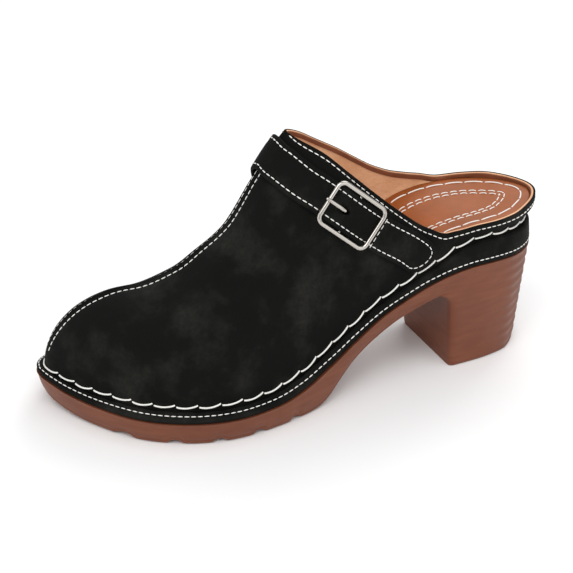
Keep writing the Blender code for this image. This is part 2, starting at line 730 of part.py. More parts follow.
def make_strap():
    """The instep strap from its round tail over the crown to the strip on the inner side."""
    places, run = strap_line()
    middle = buckle_distance(places, run)
    half = STRAP_WIDTH / 2
    tail = half * (1 - np.cos(np.linspace(0, math.pi / 2, 9)))
    distances = np.r_[tail[:-1], np.linspace(half, run[-1], STRAP_STEPS)]
    shares = np.linspace(-1, 1, STRAP_ACROSS + 1)
    under, over = [], []
    for d in distances:
        s, turn = strap_place(places, run, d)
        here, _, _, normal = upper_frame(s, turn)
        ahead = on_upper(*strap_place(places, run, min(d + 0.002, run[-1])))
        back = on_upper(*strap_place(places, run, max(d - 0.002, 0)))
        across = np.cross(normal, ahead - back)
        across /= np.linalg.norm(across)
        reach = half if d >= half else math.sqrt(max(half**2 - (half - d)**2, 0.0))
        low, high = [], []
        for part in shares:
            place = step_on_upper(s, turn, across * part * reach)
            p, _, _, n = upper_frame(*place)
            gap = FIT_GAP + strap_lift(d, middle) + seam_lift(place[1])
            low.append(p + n * gap)
            high.append(p + n * (gap + STRAP_THICKNESS))
        under.append(low)
        over.append(high)
    shell = Shell()
    shell.grid(under)
    shell.grid(over)
    shell.grid([[row[0] for row in under], [row[0] for row in over]])
    shell.grid([[row[-1] for row in under], [row[-1] for row in over]])
    shell.grid([under[0], over[0]])
    shell.grid([under[-1], over[-1]])
    strap = add_object("strap", shell, "strap")
    combine(strap, make_prong_hole(), "DIFFERENCE")
    return strap


def box_shell(middle, axes, half):
    corners = {}
    for i in (-1, 1):
        for j in (-1, 1):
            for k in (-1, 1):
                move = axes[0] * i * half[0] + axes[1] * j * half[1] + axes[2] * k * half[2]
                corners[i, j, k] = middle + move
    shell = Shell()
    for a in (-1, 1):
        shell.face([corners[a, -1, -1], corners[a, 1, -1], corners[a, 1, 1], corners[a, -1, 1]])
        shell.face([corners[-1, a, -1], corners[1, a, -1], corners[1, a, 1], corners[-1, a, 1]])
        shell.face([corners[-1, -1, a], corners[1, -1, a], corners[1, 1, a], corners[-1, 1, a]])
    return shell


def make_prong_hole():
    """Cutter for the slot that lets the prong up through the strap."""
    here, up, across, normal = buckle_frame_axes()
    middle = here + up * (PRONG_HOLE_FRONT + PRONG_HOLE_BACK) / 2
    half = ((PRONG_HOLE_FRONT - PRONG_HOLE_BACK) / 2, PRONG_WIDTH / 2 + FIT_GAP, 0.01)
    return add_object("prong_hole", box_shell(middle, (up, across, normal), half), "strap")


def tube(shell, path, radius_a, radius_b, axis, closed, sides=10):
    """Round bar along a path; axis is a direction never along the path."""
    count = len(path)
    rings = []
    for i, p in enumerate(path):
        before = path[i - 1] if closed or i > 0 else path[i]
        after = path[(i + 1) % count] if closed or i < count - 1 else path[i]
        ahead = after - before
        ahead = ahead / np.linalg.norm(ahead)
        side = np.cross(ahead, axis)
        side /= np.linalg.norm(side)
        rise = np.cross(side, ahead)
        ring = []
        for k in range(sides):
            a = 2 * math.pi * k / sides
            ring.append(p + side * radius_a[i] * math.cos(a) + rise * radius_b[i] * math.sin(a))
        rings.append(ring)
    if closed:
        rings.append(rings[0])
    shell.ring(rings)
    if not closed:
        shell.face(rings[0])
        shell.face(rings[-1][::-1])


def frame_height():
    """Height of the frame's plane over the upper at its middle, so its end bars clear the strap."""
    here, up, across, normal = buckle_frame_axes()
    places, run = strap_line()
    middle = buckle_distance(places, run)
    reach = FRAME_LENGTH / 2 - FRAME_BAR / 2
    need = []
    for sign in (-1, 1):
        for part in (-1, -0.5, 0, 0.5, 1):
            s, turn = strap_place(places, run, middle + sign * reach)
            place = step_on_upper(s, turn, across * part * STRAP_WIDTH / 2)
            p, _, _, n = upper_frame(*place)
            top = p + n * (FIT_GAP + STRAP_THICKNESS + strap_lift(middle + reach, middle))
            need.append(np.dot(top - here, normal) + FIT_GAP + FRAME_BAR / 2)
    return max(need)


def frame_opening():
    return STRAP_WIDTH + 2 * STRAP_SIDE_GAP


def make_buckle_frame():
    """Rectangular frame with a dropped centre bar under the strap, in one piece."""
    here, up, across, normal = buckle_frame_axes()
    plane = here + normal * frame_height()
    half_long = FRAME_LENGTH / 2 - FRAME_BAR / 2
    half_wide = frame_opening() / 2 + FRAME_BAR / 2
    path = []
    r = FRAME_CORNER
    for quarter, (a, b) in enumerate(((1, 1), (-1, 1), (-1, -1), (1, -1))):
        for k in range(5):
            turn = math.pi / 2 * (quarter + k / 4)
            u = a * (half_long - r) + r * math.cos(turn)
            v = b * (half_wide - r) + r * math.sin(turn)
            path.append(plane + up * u + across * v)
    shell = Shell()
    radius = [FRAME_BAR / 2] * len(path)
    tube(shell, path, radius, radius, normal, True)
    frame = add_object("buckle_frame", shell, "metal")
    combine(frame, make_centre_bar(plane, half_wide), "UNION")
    return frame


def make_centre_bar(plane, half_wide):
    here, up, across, normal = buckle_frame_axes()
    low = here + normal * (2 * FIT_GAP + CENTRE_BAR / 2)
    knee = half_wide - 0.0004
    path = [plane + across * knee, plane + across * knee - normal * 0.0008,
            low + across * knee, low - across * knee,
            plane - across * knee - normal * 0.0008, plane - across * knee]
    shell = Shell()
    radius = [CENTRE_BAR / 2] * len(path)
    tube(shell, path, radius, radius, up, False, 8)
    return add_object("centre_bar", shell, "metal")


def make_buckle_prong():
    """Tapered pin from the centre bar, up through the strap and resting on the front bar."""
    here, up, across, normal = buckle_frame_axes()
    height = frame_height()
    front = FRAME_LENGTH / 2 - FRAME_BAR / 2
    rest = height + FRAME_BAR / 2 + FIT_GAP + PRONG_WIDTH / 2
    start = CENTRE_BAR / 2 + FIT_GAP + PRONG_WIDTH / 2
    low = 2 * FIT_GAP + CENTRE_BAR / 2
    route = [(start, low, 1.0), (start + 0.0015, low + CENTRE_BAR * 0.4, 1.0),
             (PRONG_HOLE_FRONT - 0.0035, rest - 0.001, 1.0), (PRONG_HOLE_FRONT, rest + 0.0002, 1.0),
             (front, rest, 0.9), (front + PRONG_OVERHANG, rest - 0.0004, 0.6)]
    path = [here + up * u + normal * h for u, h, _ in route]
    radius = [PRONG_WIDTH / 2 * w for _, _, w in route]
    shell = Shell()
    tube(shell, path, radius, radius, across, False, 8)
    return add_object("buckle_prong", shell, "metal")


def clear_scene():
    for old in list(bpy.data.objects):
        bpy.data.objects.remove(old, do_unlink=True)


def main():
    clear_scene()
    make_sole()
    make_rand()
    make_upper()
    make_insole()
    make_strap()
    make_buckle_frame()
    make_buckle_prong()


main()
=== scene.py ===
import math

import bmesh
import bpy
import numpy as np
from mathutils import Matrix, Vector


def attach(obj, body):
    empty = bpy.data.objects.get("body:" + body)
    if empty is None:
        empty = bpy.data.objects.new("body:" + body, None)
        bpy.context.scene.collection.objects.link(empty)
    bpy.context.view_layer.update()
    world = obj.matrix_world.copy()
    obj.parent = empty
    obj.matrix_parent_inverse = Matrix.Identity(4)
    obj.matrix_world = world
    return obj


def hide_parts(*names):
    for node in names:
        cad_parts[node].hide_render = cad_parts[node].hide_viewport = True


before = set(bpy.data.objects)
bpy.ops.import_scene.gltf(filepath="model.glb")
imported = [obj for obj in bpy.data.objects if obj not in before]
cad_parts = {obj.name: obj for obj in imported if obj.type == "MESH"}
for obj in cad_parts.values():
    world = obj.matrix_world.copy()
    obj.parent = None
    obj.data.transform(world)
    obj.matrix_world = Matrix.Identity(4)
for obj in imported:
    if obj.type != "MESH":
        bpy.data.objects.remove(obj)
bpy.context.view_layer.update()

bl_info = {
    "name": "Block Heel Mule",
    "version": (1, 0, 0),
    "blender": (4, 5, 0),
    "location": "View3D > Sidebar > Mule",
    "description": "Nubuck clog mule with hand-stitched edge, buckled strap and moulded block heel",
    "category": "Object",
}

# Driving sizes of the shoe in metres: +Z up, +Y to the toe, +X to the inner side.
SHOE_LENGTH = 0.248
BALL_WIDTH = 0.093
HEEL_SETBACK = 0.035
HEEL_HEIGHT = 0.054
FOREFOOT_THICKNESS = 0.012
TOE_SPRING = 0.005
TREAD_TOE_LIFT = 0.0065
INSTEP_HEIGHT = 0.125
SIDE_TUCK = 0.0003
TREAD_TUCK = 0.003
ARCH_TUCK = 0.0013
SIDE_LINE_HEIGHT = 0.0022
NOTCH_COUNT = 5
NOTCH_START = 0.573
NOTCH_END = 0.895
NOTCH_WIDTH = 0.0035
NOTCH_SLOPE = 0.0015
NOTCH_DEPTH = 0.0018
HEEL_BREAST = 0.0195
HEEL_BREAST_LEAN = 0.05
HEEL_BREAST_RADIUS = 0.007
HEEL_CORNER_RADIUS = 0.0022
HEEL_TAPER_OUTER = 0.002
HEEL_TAPER_INNER = 0.0085
HEEL_TAPER_BACK = 0.0048
RIB_COUNT = 10
RIB_DEPTH = 0.0010
RAND_WIDTH = 0.006
RAND_HEIGHT = 0.0118
RAND_THICKNESS = 0.0022
UPPER_WALL = 0.002
HEEL_RIM_HEIGHT = 0.0215
RIM_FLARE = 0.0035
INSOLE_THICKNESS = 0.0035
INSOLE_EDGE_DROP = 0.001
INSOLE_CUP = 0.0022
INSOLE_FORE_HEIGHT = 0.006
STRAP_WIDTH = 0.0176
STRAP_THICKNESS = 0.0018
HUMP_REACH = 0.021
FRAME_LENGTH = 0.0300
FRAME_BAR = 0.0021
FRAME_CORNER = 0.0035
CENTRE_BAR = 0.0016
STRAP_SIDE_GAP = 0.0007
PRONG_WIDTH = 0.0019
PRONG_OVERHANG = 0.0022
PRONG_HOLE_FRONT = 0.0085
PRONG_HOLE_BACK = 0.0015
SEAM_RIDGE_HEIGHT = 0.0008
FIT_GAP = 0.0003
CORE_GAP = 0.0011
CURVE_STEPS = 24

# Sewing: a fine machine row, and the thick hand row that gathers the upper onto the strip.
FINE_PITCH = 0.0030
FINE_LENGTH = 0.0024
FINE_RADIUS = 0.00027
LONG_PITCH = 0.0105
LONG_RADIUS = 0.00042
PUCKER_DEPTH = 0.0009
PUCKER_REACH = 0.011
FOOTBED_THREAD = 0.00034
PAD_THREAD = 0.00028
FOOTBED_ROW_INSET = 0.0045
FOOTBED_DASH = (0.0090, 0.0012)
PAD_ROW_INSETS = (0.0125, 0.0150)
PAD_DASH = (0.0034, 0.0014)
STRAP_ROW_INSET = 0.0022
TOPLINE_ROW_DROP = 0.0024
SEAM_ROW_DROP = 0.0021
STRIP_ROW_INSET = 0.0026

# The sole's outline from above, clockwise from the middle of the heel's back, outer side first:
# along is a share of the length from the back, across a share of the ball width.
OUTLINE = [
    (0.000, -0.020), (0.020, -0.150), (0.067, -0.258), (0.133, -0.310), (0.254, -0.328),
    (0.375, -0.347), (0.496, -0.411), (0.597, -0.484), (0.698, -0.511), (0.782, -0.462),
    (0.867, -0.325), (0.935, -0.102), (0.977, 0.091), (0.996, 0.240), (0.970, 0.385),
    (0.907, 0.473), (0.806, 0.489), (0.706, 0.452), (0.589, 0.366), (0.460, 0.317),
    (0.323, 0.317), (0.181, 0.317), (0.085, 0.269), (0.022, 0.129),
]
# The sole's upper edge: its climb to the heel and its lift at the toe.
EDGE_COLUMNS = ("along", "ramp", "spring")
EDGE = [
    (0.000, 0.950, 0.00), (0.069, 0.975, 0.00), (0.171, 1.000, 0.00), (0.216, 0.975, 0.00),
    (0.272, 0.900, 0.00), (0.323, 0.790, 0.00), (0.384, 0.635, 0.00), (0.443, 0.440, 0.00),
    (0.500, 0.248, 0.00), (0.560, 0.098, 0.00), (0.625, 0.020, 0.00), (0.711, 0.000, 0.00),
    (0.825, 0.000, 0.03), (0.923, 0.000, 0.16), (0.967, 0.000, 0.46), (1.000, 0.000, 1.00),
]
# The sole's underside: its arch as a share of the heel's height, and its lift at the toe.
UNDER_COLUMNS = ("along", "arch", "toe")
UNDER = [
    (0.000, 0.760, 0.00), (0.240, 0.770, 0.00), (0.280, 0.730, 0.00), (0.335, 0.635, 0.00),
    (0.384, 0.515, 0.00), (0.437, 0.350, 0.00), (0.475, 0.170, 0.00), (0.495, 0.070, 0.00),
    (0.508, 0.028, 0.00), (0.522, 0.008, 0.00), (0.535, 0.000, 0.00), (0.895, 0.000, 0.00),
    (0.930, 0.000, 0.04), (0.960, 0.000, 0.18), (0.985, 0.000, 0.52), (1.000, 0.000, 1.00),
]
# The strip: its tilt in degrees, how far it stands up, and its share of the full width.
RAND_COLUMNS = ("along", "angle", "upright", "narrow")
RAND = [
    (0.000, 86, 1.00, 1.00), (0.150, 86, 1.00, 1.00), (0.210, 85, 0.72, 1.00),
    (0.270, 80, 0.15, 0.95), (0.340, 72, 0.00, 0.88), (0.420, 58, 0.00, 0.85),
    (0.500, 38, 0.00, 0.88), (0.620, 15, 0.00, 1.00), (0.860, 12, 0.00, 1.00),
    (0.930, 14, 0.00, 0.80), (1.000, 18, 0.00, 0.42),
]
# The upper's cross sections: height of the crown as a share of the instep, place of the seam
# from the outer side, and how full the outer and the inner flank are.
SECTION_COLUMNS = ("along", "ridge", "seam", "outer", "inner")
SECTION = [
    (0.000, 1.300, 0.50, 2.00, 2.00), (0.150, 1.320, 0.55, 2.00, 2.00),
    (0.300, 1.280, 0.60, 2.00, 2.00), (0.420, 1.150, 0.62, 2.00, 2.00),
    (0.514, 1.000, 0.64, 1.95, 1.95), (0.578, 0.832, 0.64, 2.00, 1.90),
    (0.633, 0.662, 0.64, 2.10, 1.80), (0.687, 0.574, 0.64, 2.20, 1.75),
    (0.735, 0.509, 0.64, 2.30, 1.75), (0.820, 0.458, 0.63, 2.40, 1.75),
    (0.910, 0.452, 0.58, 2.40, 1.80), (1.000, 0.450, 0.50, 2.40, 1.90),
]
TOE_ROUND_START = 0.84
TOE_ROUND_POWER = 2.05
THROAT = 0.514
TOPLINE_COLUMNS = ("along", "outer", "inner")
TOPLINE = [
    (0.000, 0.08, 0.08), (0.040, 0.06, 0.08), (0.090, 0.02, 0.05), (0.140, 0.00, 0.03),
    (0.190, 0.00, 0.09), (0.240, 0.02, 0.19), (0.283, 0.15, 0.32), (0.339, 0.395, 0.53),
    (0.385, 0.60, 0.69), (0.430, 0.785, 0.82), (0.474, 0.93, 0.93), (0.514, 1.00, 1.00),
]
FLARE_COLUMNS = ("along", "flare")
FLARE = [(0.00, 1.50), (0.06, 1.15), (0.20, 1.00), (0.30, 0.70), (0.45, 0.00), (1.00, 0.00)]
FOOTBED_COLUMNS = ("along", "height")
FOOTBED = [
    (0.00, 1.17), (0.06, 1.13), (0.12, 1.05), (0.20, 1.00), (0.24, 0.98), (0.32, 0.80),
    (0.45, 0.45), (0.60, 0.28), (1.00, 0.26),
]
# The strap's middle line from its tail: share of the length, and turn over the crown from the
# outer base (0) to the inner base (2), fitted to where the strap lies in the photo.
STRAP = [
    (0.281, 0.065), (0.325, 0.143), (0.370, 0.219), (0.402, 0.286), (0.440, 0.379),
    (0.482, 0.508), (0.519, 0.656), (0.536, 0.782), (0.545, 0.914), (0.546, 1.080),
    (0.536, 1.300), (0.507, 1.560), (0.479, 1.780), (0.471, 1.850),
]
BUCKLE_AT = (0.440, 0.379)

# Colours as sRGB, matched to the photo.
COLOURS = {
    "nubuck": "0D0E0C", "nubuck_worn": "302F2B", "thread": "EFEDE8", "sole": "77442D",
    "sole_deep": "6B3A26", "insole": "9F5524", "insole_deep": "8B4A1E", "lining": "F0BE96",
    "lining_deep": "D69E75", "binding": "8A5338", "binding_deep": "6E3F28", "edge": "CDA98A",
    "silver": "BDB8B1",
}


SLOPES = {}


def smooth_slopes(xs, ys):
    """Slopes of the smooth curve at its table points, worked out once for each table."""
    key = (tuple(xs), tuple(ys))
    if key in SLOPES:
        return SLOPES[key]
    xs, ys = np.asarray(xs, float), np.asarray(ys, float)
    step = np.diff(xs)
    rise = np.diff(ys) / step
    slope = np.zeros_like(ys)
    slope[0], slope[-1] = rise[0], rise[-1]
    for i in range(1, len(xs) - 1):
        if rise[i - 1] * rise[i] > 0:
            near, far = 2 * step[i] + step[i - 1], step[i] + 2 * step[i - 1]
            slope[i] = (near + far) / (near / rise[i - 1] + far / rise[i])
    SLOPES[key] = xs, ys, step, slope
    return SLOPES[key]


def smooth_through(xs, ys, x):
    """Smooth curve through table points that never overshoots them."""
    xs, ys, step, slope = smooth_slopes(xs, ys)
    x = np.clip(np.asarray(x, float), xs[0], xs[-1])
    i = np.clip(np.searchsorted(xs, x, side="right") - 1, 0, len(xs) - 2)
    t = (x - xs[i]) / step[i]
    start = (1 + 2 * t) * (1 - t) ** 2 * ys[i] + t * (1 - t) ** 2 * step[i] * slope[i]
    end = t * t * (3 - 2 * t) * ys[i + 1] + t * t * (t - 1) * step[i] * slope[i + 1]
    return start + end


def read(table, names, name, at):
    """Value of one named column of a table at a share of the length."""
    column = names.index(name)
    return smooth_through([row[0] for row in table], [row[column] for row in table], at)


def smooth_step(low, high, x):
    t = np.clip((np.asarray(x, float) - low) / (high - low), 0, 1)
    return t * t * (3 - 2 * t)


def closed_curve(points):
    """Closed smooth curve through the points, evenly stepped in each span."""
    p = np.asarray(points, float)
    count = len(p)
    out = []
    for i in range(count):
        a, b, c, d = p[i - 1], p[i], p[(i + 1) % count], p[(i + 2) % count]
        ab, bc, cd = math.dist(a, b) ** 0.5, math.dist(b, c) ** 0.5, math.dist(c, d) ** 0.5
        leave = (c - b) - bc * (c - a) / (ab + bc) + bc * (b - a) / ab
        arrive = (c - b) - bc * (d - b) / (bc + cd) + bc * (d - c) / cd
        for t in np.arange(CURVE_STEPS) / CURVE_STEPS:
            out.append((2 * t**3 - 3 * t**2 + 1) * b + (t**3 - 2 * t**2 + t) * leave
                       + (-2 * t**3 + 3 * t**2) * c + (t**3 - t**2) * arrive)
    return np.array(out)


def outline_halves():
    """Outer and inner half of the outline from heel to toe, each with its inward directions."""
    curve = closed_curve([(across * BALL_WIDTH, along * SHOE_LENGTH - HEEL_SETBACK)
                          for along, across in OUTLINE])
    ahead = np.roll(curve, -1, 0) - np.roll(curve, 1, 0)
    ahead /= np.linalg.norm(ahead, axis=1)[:, None]
    inward = np.stack([ahead[:, 1], -ahead[:, 0]], 1)
    toe = int(np.argmax(curve[:, 1]))
    outer = np.arange(0, toe + 1)
    inner = np.r_[0, np.arange(len(curve) - 1, toe - 1, -1)]
    return {-1: (curve[outer], inward[outer]), 1: (curve[inner], inward[inner])}


HALVES = outline_halves()


def share(y):
    return (np.asarray(y, float) + HEEL_SETBACK) / SHOE_LENGTH


def station_y(s):
    return np.asarray(s, float) * SHOE_LENGTH - HEEL_SETBACK


def side_point(s, side, inset=0.0):
    """Outline point on one side (-1 outer, +1 inner) moved inwards, and its inward direction."""
    curve, inward = HALVES[side]
    steps = np.arange(len(curve))
    climb = np.maximum.accumulate(curve[:, 1]) + steps * 1e-9
    i = np.interp(climb[0] + np.asarray(s, float) * (climb[-1] - climb[0]), climb, steps)
    p = np.stack([np.interp(i, steps, curve[:, k]) for k in (0, 1)], -1)
    n = np.stack([np.interp(i, steps, inward[:, k]) for k in (0, 1)], -1)
    n /= np.linalg.norm(n, axis=-1)[..., None]
    inset = np.asarray(inset(p[..., 1]) if callable(inset) else inset, float)
    return p + n * np.broadcast_to(inset, p.shape[:-1])[..., None], n


def edge_height(y):
    ramp = read(EDGE, EDGE_COLUMNS, "ramp", share(y))
    spring = read(EDGE, EDGE_COLUMNS, "spring", share(y))
    return FOREFOOT_THICKNESS + (HEEL_HEIGHT - FOREFOOT_THICKNESS) * ramp + TOE_SPRING * spring


def under_height(y):
    arch = read(UNDER, UNDER_COLUMNS, "arch", share(y))
    toe = read(UNDER, UNDER_COLUMNS, "toe", share(y))
    return HEEL_HEIGHT * arch + TREAD_TOE_LIFT * toe


def rim_height(y):
    return edge_height(y) + HEEL_RIM_HEIGHT


def rand_angle(y):
    return np.radians(read(RAND, RAND_COLUMNS, "angle", share(y)))


def rand_width(y):
    upright = read(RAND, RAND_COLUMNS, "upright", share(y))
    narrow = read(RAND, RAND_COLUMNS, "narrow", share(y))
    return (RAND_WIDTH + (RAND_HEIGHT - RAND_WIDTH) * upright) * narrow


def upper_inset(y):
    """How far the upper's outer face stands inside the sole's edge, clear of the strip."""
    angle = rand_angle(y)
    return rand_width(y) * np.cos(angle) + RAND_THICKNESS * np.sin(angle) + 1.5 * FIT_GAP


def section(s, side, deeper=0.0):
    """One side of the upper's sections: base, its inward direction, crown and curve."""
    base, inward = side_point(s, side, lambda y: upper_inset(y) + deeper)
    other, _ = side_point(s, -side, lambda y: upper_inset(y) + deeper)
    outer, inner = (base, other) if side < 0 else (other, base)
    seam = read(SECTION, SECTION_COLUMNS, "seam", s)
    pull = np.stack([seam, 0.5 + 0 * seam], -1)
    crown = outer + (inner - outer) * pull
    foot = edge_height(base[..., 1]) + FIT_GAP
    floor = edge_height(crown[..., 1]) + FIT_GAP
    full = INSTEP_HEIGHT * read(SECTION, SECTION_COLUMNS, "ridge", s) - deeper
    t = np.clip((s - TOE_ROUND_START) / (1 - TOE_ROUND_START), 0, 1)
    top = floor + (full - floor) * (1 - t ** TOE_ROUND_POWER) ** (1 / TOE_ROUND_POWER)
    power = 2 / read(SECTION, SECTION_COLUMNS, "outer" if side < 0 else "inner", s)
    return base, inward, crown, foot, top, power


def upper_point(s, side, angle, deeper=0.0):
    """Point of the upper at an angle of its section: 0 at the base, a right angle on the crown."""
    base, inward, crown, foot, top, power = section(s, side, deeper)
    reach = 1 - np.clip(np.cos(angle), 0, 1) ** power
    rise = (top - foot) * np.clip(np.sin(angle), 0, 1) ** power
    flare = RIM_FLARE * read(FLARE, FLARE_COLUMNS, "flare", s)
    clear = RAND_HEIGHT + FIT_GAP
    climb = np.clip((rise - clear) / (HEEL_RIM_HEIGHT - clear), 0, 1)
    lean = flare * climb * climb * (3 - 2 * climb)
    xy = base + (crown - base) * reach[..., None] - inward * lean[..., None]
    return np.concatenate([xy, (foot + rise)[..., None]], -1)


def topline_angle(s, side, deeper=0.0):
    """Angle of the section where the upper's top edge cuts it."""
    _, _, _, foot, top, power = section(s, side, deeper)
    rise = read(TOPLINE, TOPLINE_COLUMNS, "outer" if side < 0 else "inner", s)
    low = rim_height(station_y(s))
    edge = low + (INSTEP_HEIGHT - low) * rise
    ratio = np.clip((edge - foot) / np.maximum(top - foot, 1e-6), 0, 1)
    return np.where(s >= THROAT, math.pi / 2, np.arcsin(ratio ** (1 / power)))


def wall_at_height(s, side, z, deeper):
    """Point of the upper's face at a height, with its inward direction."""
    _, inward, _, foot, top, power = section(s, side, deeper)
    ratio = np.clip((z - foot) / np.maximum(top - foot, 1e-6), 0, 1)
    angle = np.arcsin(ratio ** (1 / power))
    return upper_point(s, side, angle, deeper), inward


def even_stations(count):
    """Shares of the length that crowd towards heel and toe, where the outline turns."""
    return 0.5 - 0.5 * np.cos(np.linspace(0, math.pi, count + 1))


class Shell:
    """Collects points and faces; equal points are stored once, and folded faces are dropped."""

    def __init__(self):
        self.points, self.places, self.faces, self.marks = [], {}, [], []

    def point(self, p):
        key = tuple(int(round(float(c) * 1e7)) for c in p)
        if key not in self.places:
            self.places[key] = len(self.points)
            self.points.append(tuple(float(c) for c in p))
        return self.places[key]

    def face(self, corners, mark=0):
        ids = [self.point(p) for p in corners]
        ids = [a for i, a in enumerate(ids) if a != ids[i - 1]]
        if len(set(ids)) >= 3:
            self.faces.append(ids)
            self.marks.append(mark)

    def grid(self, rows, mark=0):
        for low, high in zip(rows[:-1], rows[1:]):
            for i in range(len(low) - 1):
                self.face([low[i], low[i + 1], high[i + 1], high[i]], mark)

    def ring(self, rows, mark=0):
        self.grid([list(row) + [row[0]] for row in rows], mark)


def add_piece(name, shell, paints, sharp=40):
    """Mesh object from a shell, faces outwards, one paint for each face mark."""
    mesh = bpy.data.meshes.new(name)
    mesh.from_pydata(shell.points, [], shell.faces)
    for paint in paints:
        mesh.materials.append(paint)
    mesh.polygons.foreach_set("material_index", shell.marks)
    tidy = bmesh.new()
    tidy.from_mesh(mesh)
    bmesh.ops.recalc_face_normals(tidy, faces=tidy.faces[:])
    tidy.to_mesh(mesh)
    tidy.free()
    mesh.shade_smooth()
    mesh.set_sharp_from_angle(angle=math.radians(sharp))
    made = bpy.data.objects.new(name, mesh)
    bpy.context.scene.collection.objects.link(made)
    return made


def hand_over(piece, slot_name, *nodes):
    """The piece rides the shoe's one body and stands for its CAD nodes; its slot name is not used.
    """
    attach(piece, "root")
    if nodes:
        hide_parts(*nodes)


def base_run(side):
    """Distances along the upper's base on one side, from the heel's back to the toe, by station."""
    s = np.linspace(0, 1, 600)
    p = upper_point(s, side, 0 * s)
    run = np.r_[0, np.cumsum(np.linalg.norm(np.diff(p, axis=0), axis=1))]
    return s, run


BASE_RUNS = {side: base_run(side) for side in (-1, 1)}


def stitch_count(side):
    return round(BASE_RUNS[side][1][-1] / LONG_PITCH)


def stitch_phase(s, side):
    """How far along the hand stitches a station lies: whole numbers are the needle holes."""
    stations, run = BASE_RUNS[side]
    return np.interp(s, stations, run) / run[-1] * stitch_count(side)


def pucker(s, side, rise):
    """Outward swell of the upper between the hand stitches, dying out up the wall."""
    phase = stitch_phase(s, side)
    swell = np.abs(np.sin(math.pi * phase)) ** 0.7
    lean = 0.6 + 0.4 * np.sin(2.3 * np.floor(phase) + 1.1)
    above = np.clip((rise - 0.0002) / PUCKER_REACH, 0, 1)
    return look().pucker * (swell * lean - 0.35) * np.sin(math.pi * above ** 0.55) * (1 - above)


def hand_line_rise(s):
    """Rise of the hand stitches over the base: low at the forefoot, over the strip behind."""
    y = station_y(s)
    return rand_width(y) * np.sin(rand_angle(y)) + RAND_THICKNESS * np.cos(rand_angle(y)) + 0.0006


# Creases of the vamp: along and turn of the middle, length and width in the same
# shares, slant, and depth in metres (a trough is negative).
CREASES = [
    (0.610, 0.42, 0.050, 0.110, 0.20, -0.00055), (0.640, 0.30, 0.045, 0.090, 0.15, 0.00045),
    (0.575, 0.30, 0.040, 0.120, 0.30, -0.00045), (0.660, 0.62, 0.060, 0.100, -0.10, -0.00035),
    (0.540, 0.22, 0.035, 0.120, 0.35, 0.00050), (0.600, 1.55, 0.050, 0.110, -0.20, -0.00050),
    (0.650, 1.70, 0.045, 0.090, -0.15, 0.00040), (0.745, 0.36, 0.060, 0.130, 0.10, -0.00040),
    (0.505, 0.28, 0.030, 0.110, 0.35, -0.00045), (0.800, 0.55, 0.060, 0.160, 0.05, 0.00035),
]


def creases(s, turn):
    """Sum of the soft troughs and ridges at a place on the vamp."""
    total = np.zeros(np.broadcast(s, turn).shape)
    for along, middle, long, wide, slant, depth in CREASES:
        a = (s - along - slant * (turn - middle) * 0.25) / long
        b = (turn - middle) / wide
        total += depth * np.exp(-(a * a) - b * b)
    return total


def upper_face(s, side, angle, deeper=0.0):
    """Upper's face with its puckers and creases, moved along the surface normal."""
    step = 1e-3
    angle = np.asarray(angle, float)
    here = upper_point(s, side, angle, deeper)
    ds = np.where(s > 0.5, -step, step)
    along = (upper_point(s + ds, side, angle, deeper) - here) / ds[..., None]
    da = np.where(angle > 0.8, -step, step)
    around = (upper_point(s, side, angle + da, deeper) - here) / da[..., None]
    normal = np.cross(along, around) * side
    normal /= np.maximum(np.linalg.norm(normal, axis=-1), 1e-12)[..., None]
    _, _, _, foot, _, _ = section(s, side, deeper)
    turn = np.where(side < 0, angle, math.pi - angle) / (math.pi / 2)
    calm = smooth_step(1.0, 0.985, s) * smooth_step(0.0, 0.01, s)
    push = pucker(s, side, here[..., 2] - foot - hand_line_rise(s) + 0.002) + creases(s, turn)
    return here + normal * (push * calm)[..., None], normal


UPPER_FACE_ROWS = 40
UPPER_FACE_STATIONS = 300
EDGE_ROWS = (0.0030, 0.0024, 0.0018, 0.0014, 0.0011, 0.0008, 0.0005, 0.0002, 0.0)


def face_stations(count):
    s = np.sort(np.concatenate([np.linspace(0, 1, count + 1)[1:-1], even_stations(count // 3),
                                THROAT - np.array([0.0, 0.0005, 0.001, 0.002, 0.003, 0.0045])]))
    keep = [s[0]]
    for v in s[1:]:
        if v - keep[-1] > 3e-4 or v == 1.0:
            keep.append(v)
    keep = np.array(keep)
    keep[np.argmin(np.abs(keep - THROAT))] = THROAT
    keep[-1] = 1.0
    return keep


def angle_below(s, side, distance, deeper=0.0):
    """Angle of the section at a short distance below the crown or the top edge."""
    s = np.asarray(s, float)
    base, _, crown, _, _, power = section(s, side, deeper)
    top = topline_angle(s, side, deeper)
    width = np.linalg.norm(crown - base, axis=-1)
    on_crown = np.minimum((distance / np.maximum(width, 1e-6)) ** (1 / power), 1.2)
    step = 0.02
    climb = upper_point(s, side, top, deeper) - upper_point(s, side, top - step, deeper)
    speed = np.linalg.norm(climb, axis=-1) / step
    on_edge = np.minimum(distance / np.maximum(speed, 1e-3), 0.8 * top)
    return top - np.where(s >= THROAT, on_crown, on_edge)


def row_angles(s, side, deeper):
    """Angles of every row: crowded near the base, then at set distances below the top."""
    first = angle_below(s, side, EDGE_ROWS[0], deeper)
    t = np.linspace(0, 1, UPPER_FACE_ROWS + 1)
    rows = [first * (0.75 * v ** 1.5 + 0.25 * v) for v in t]
    return rows + [angle_below(s, side, d, deeper) for d in EDGE_ROWS[1:]]


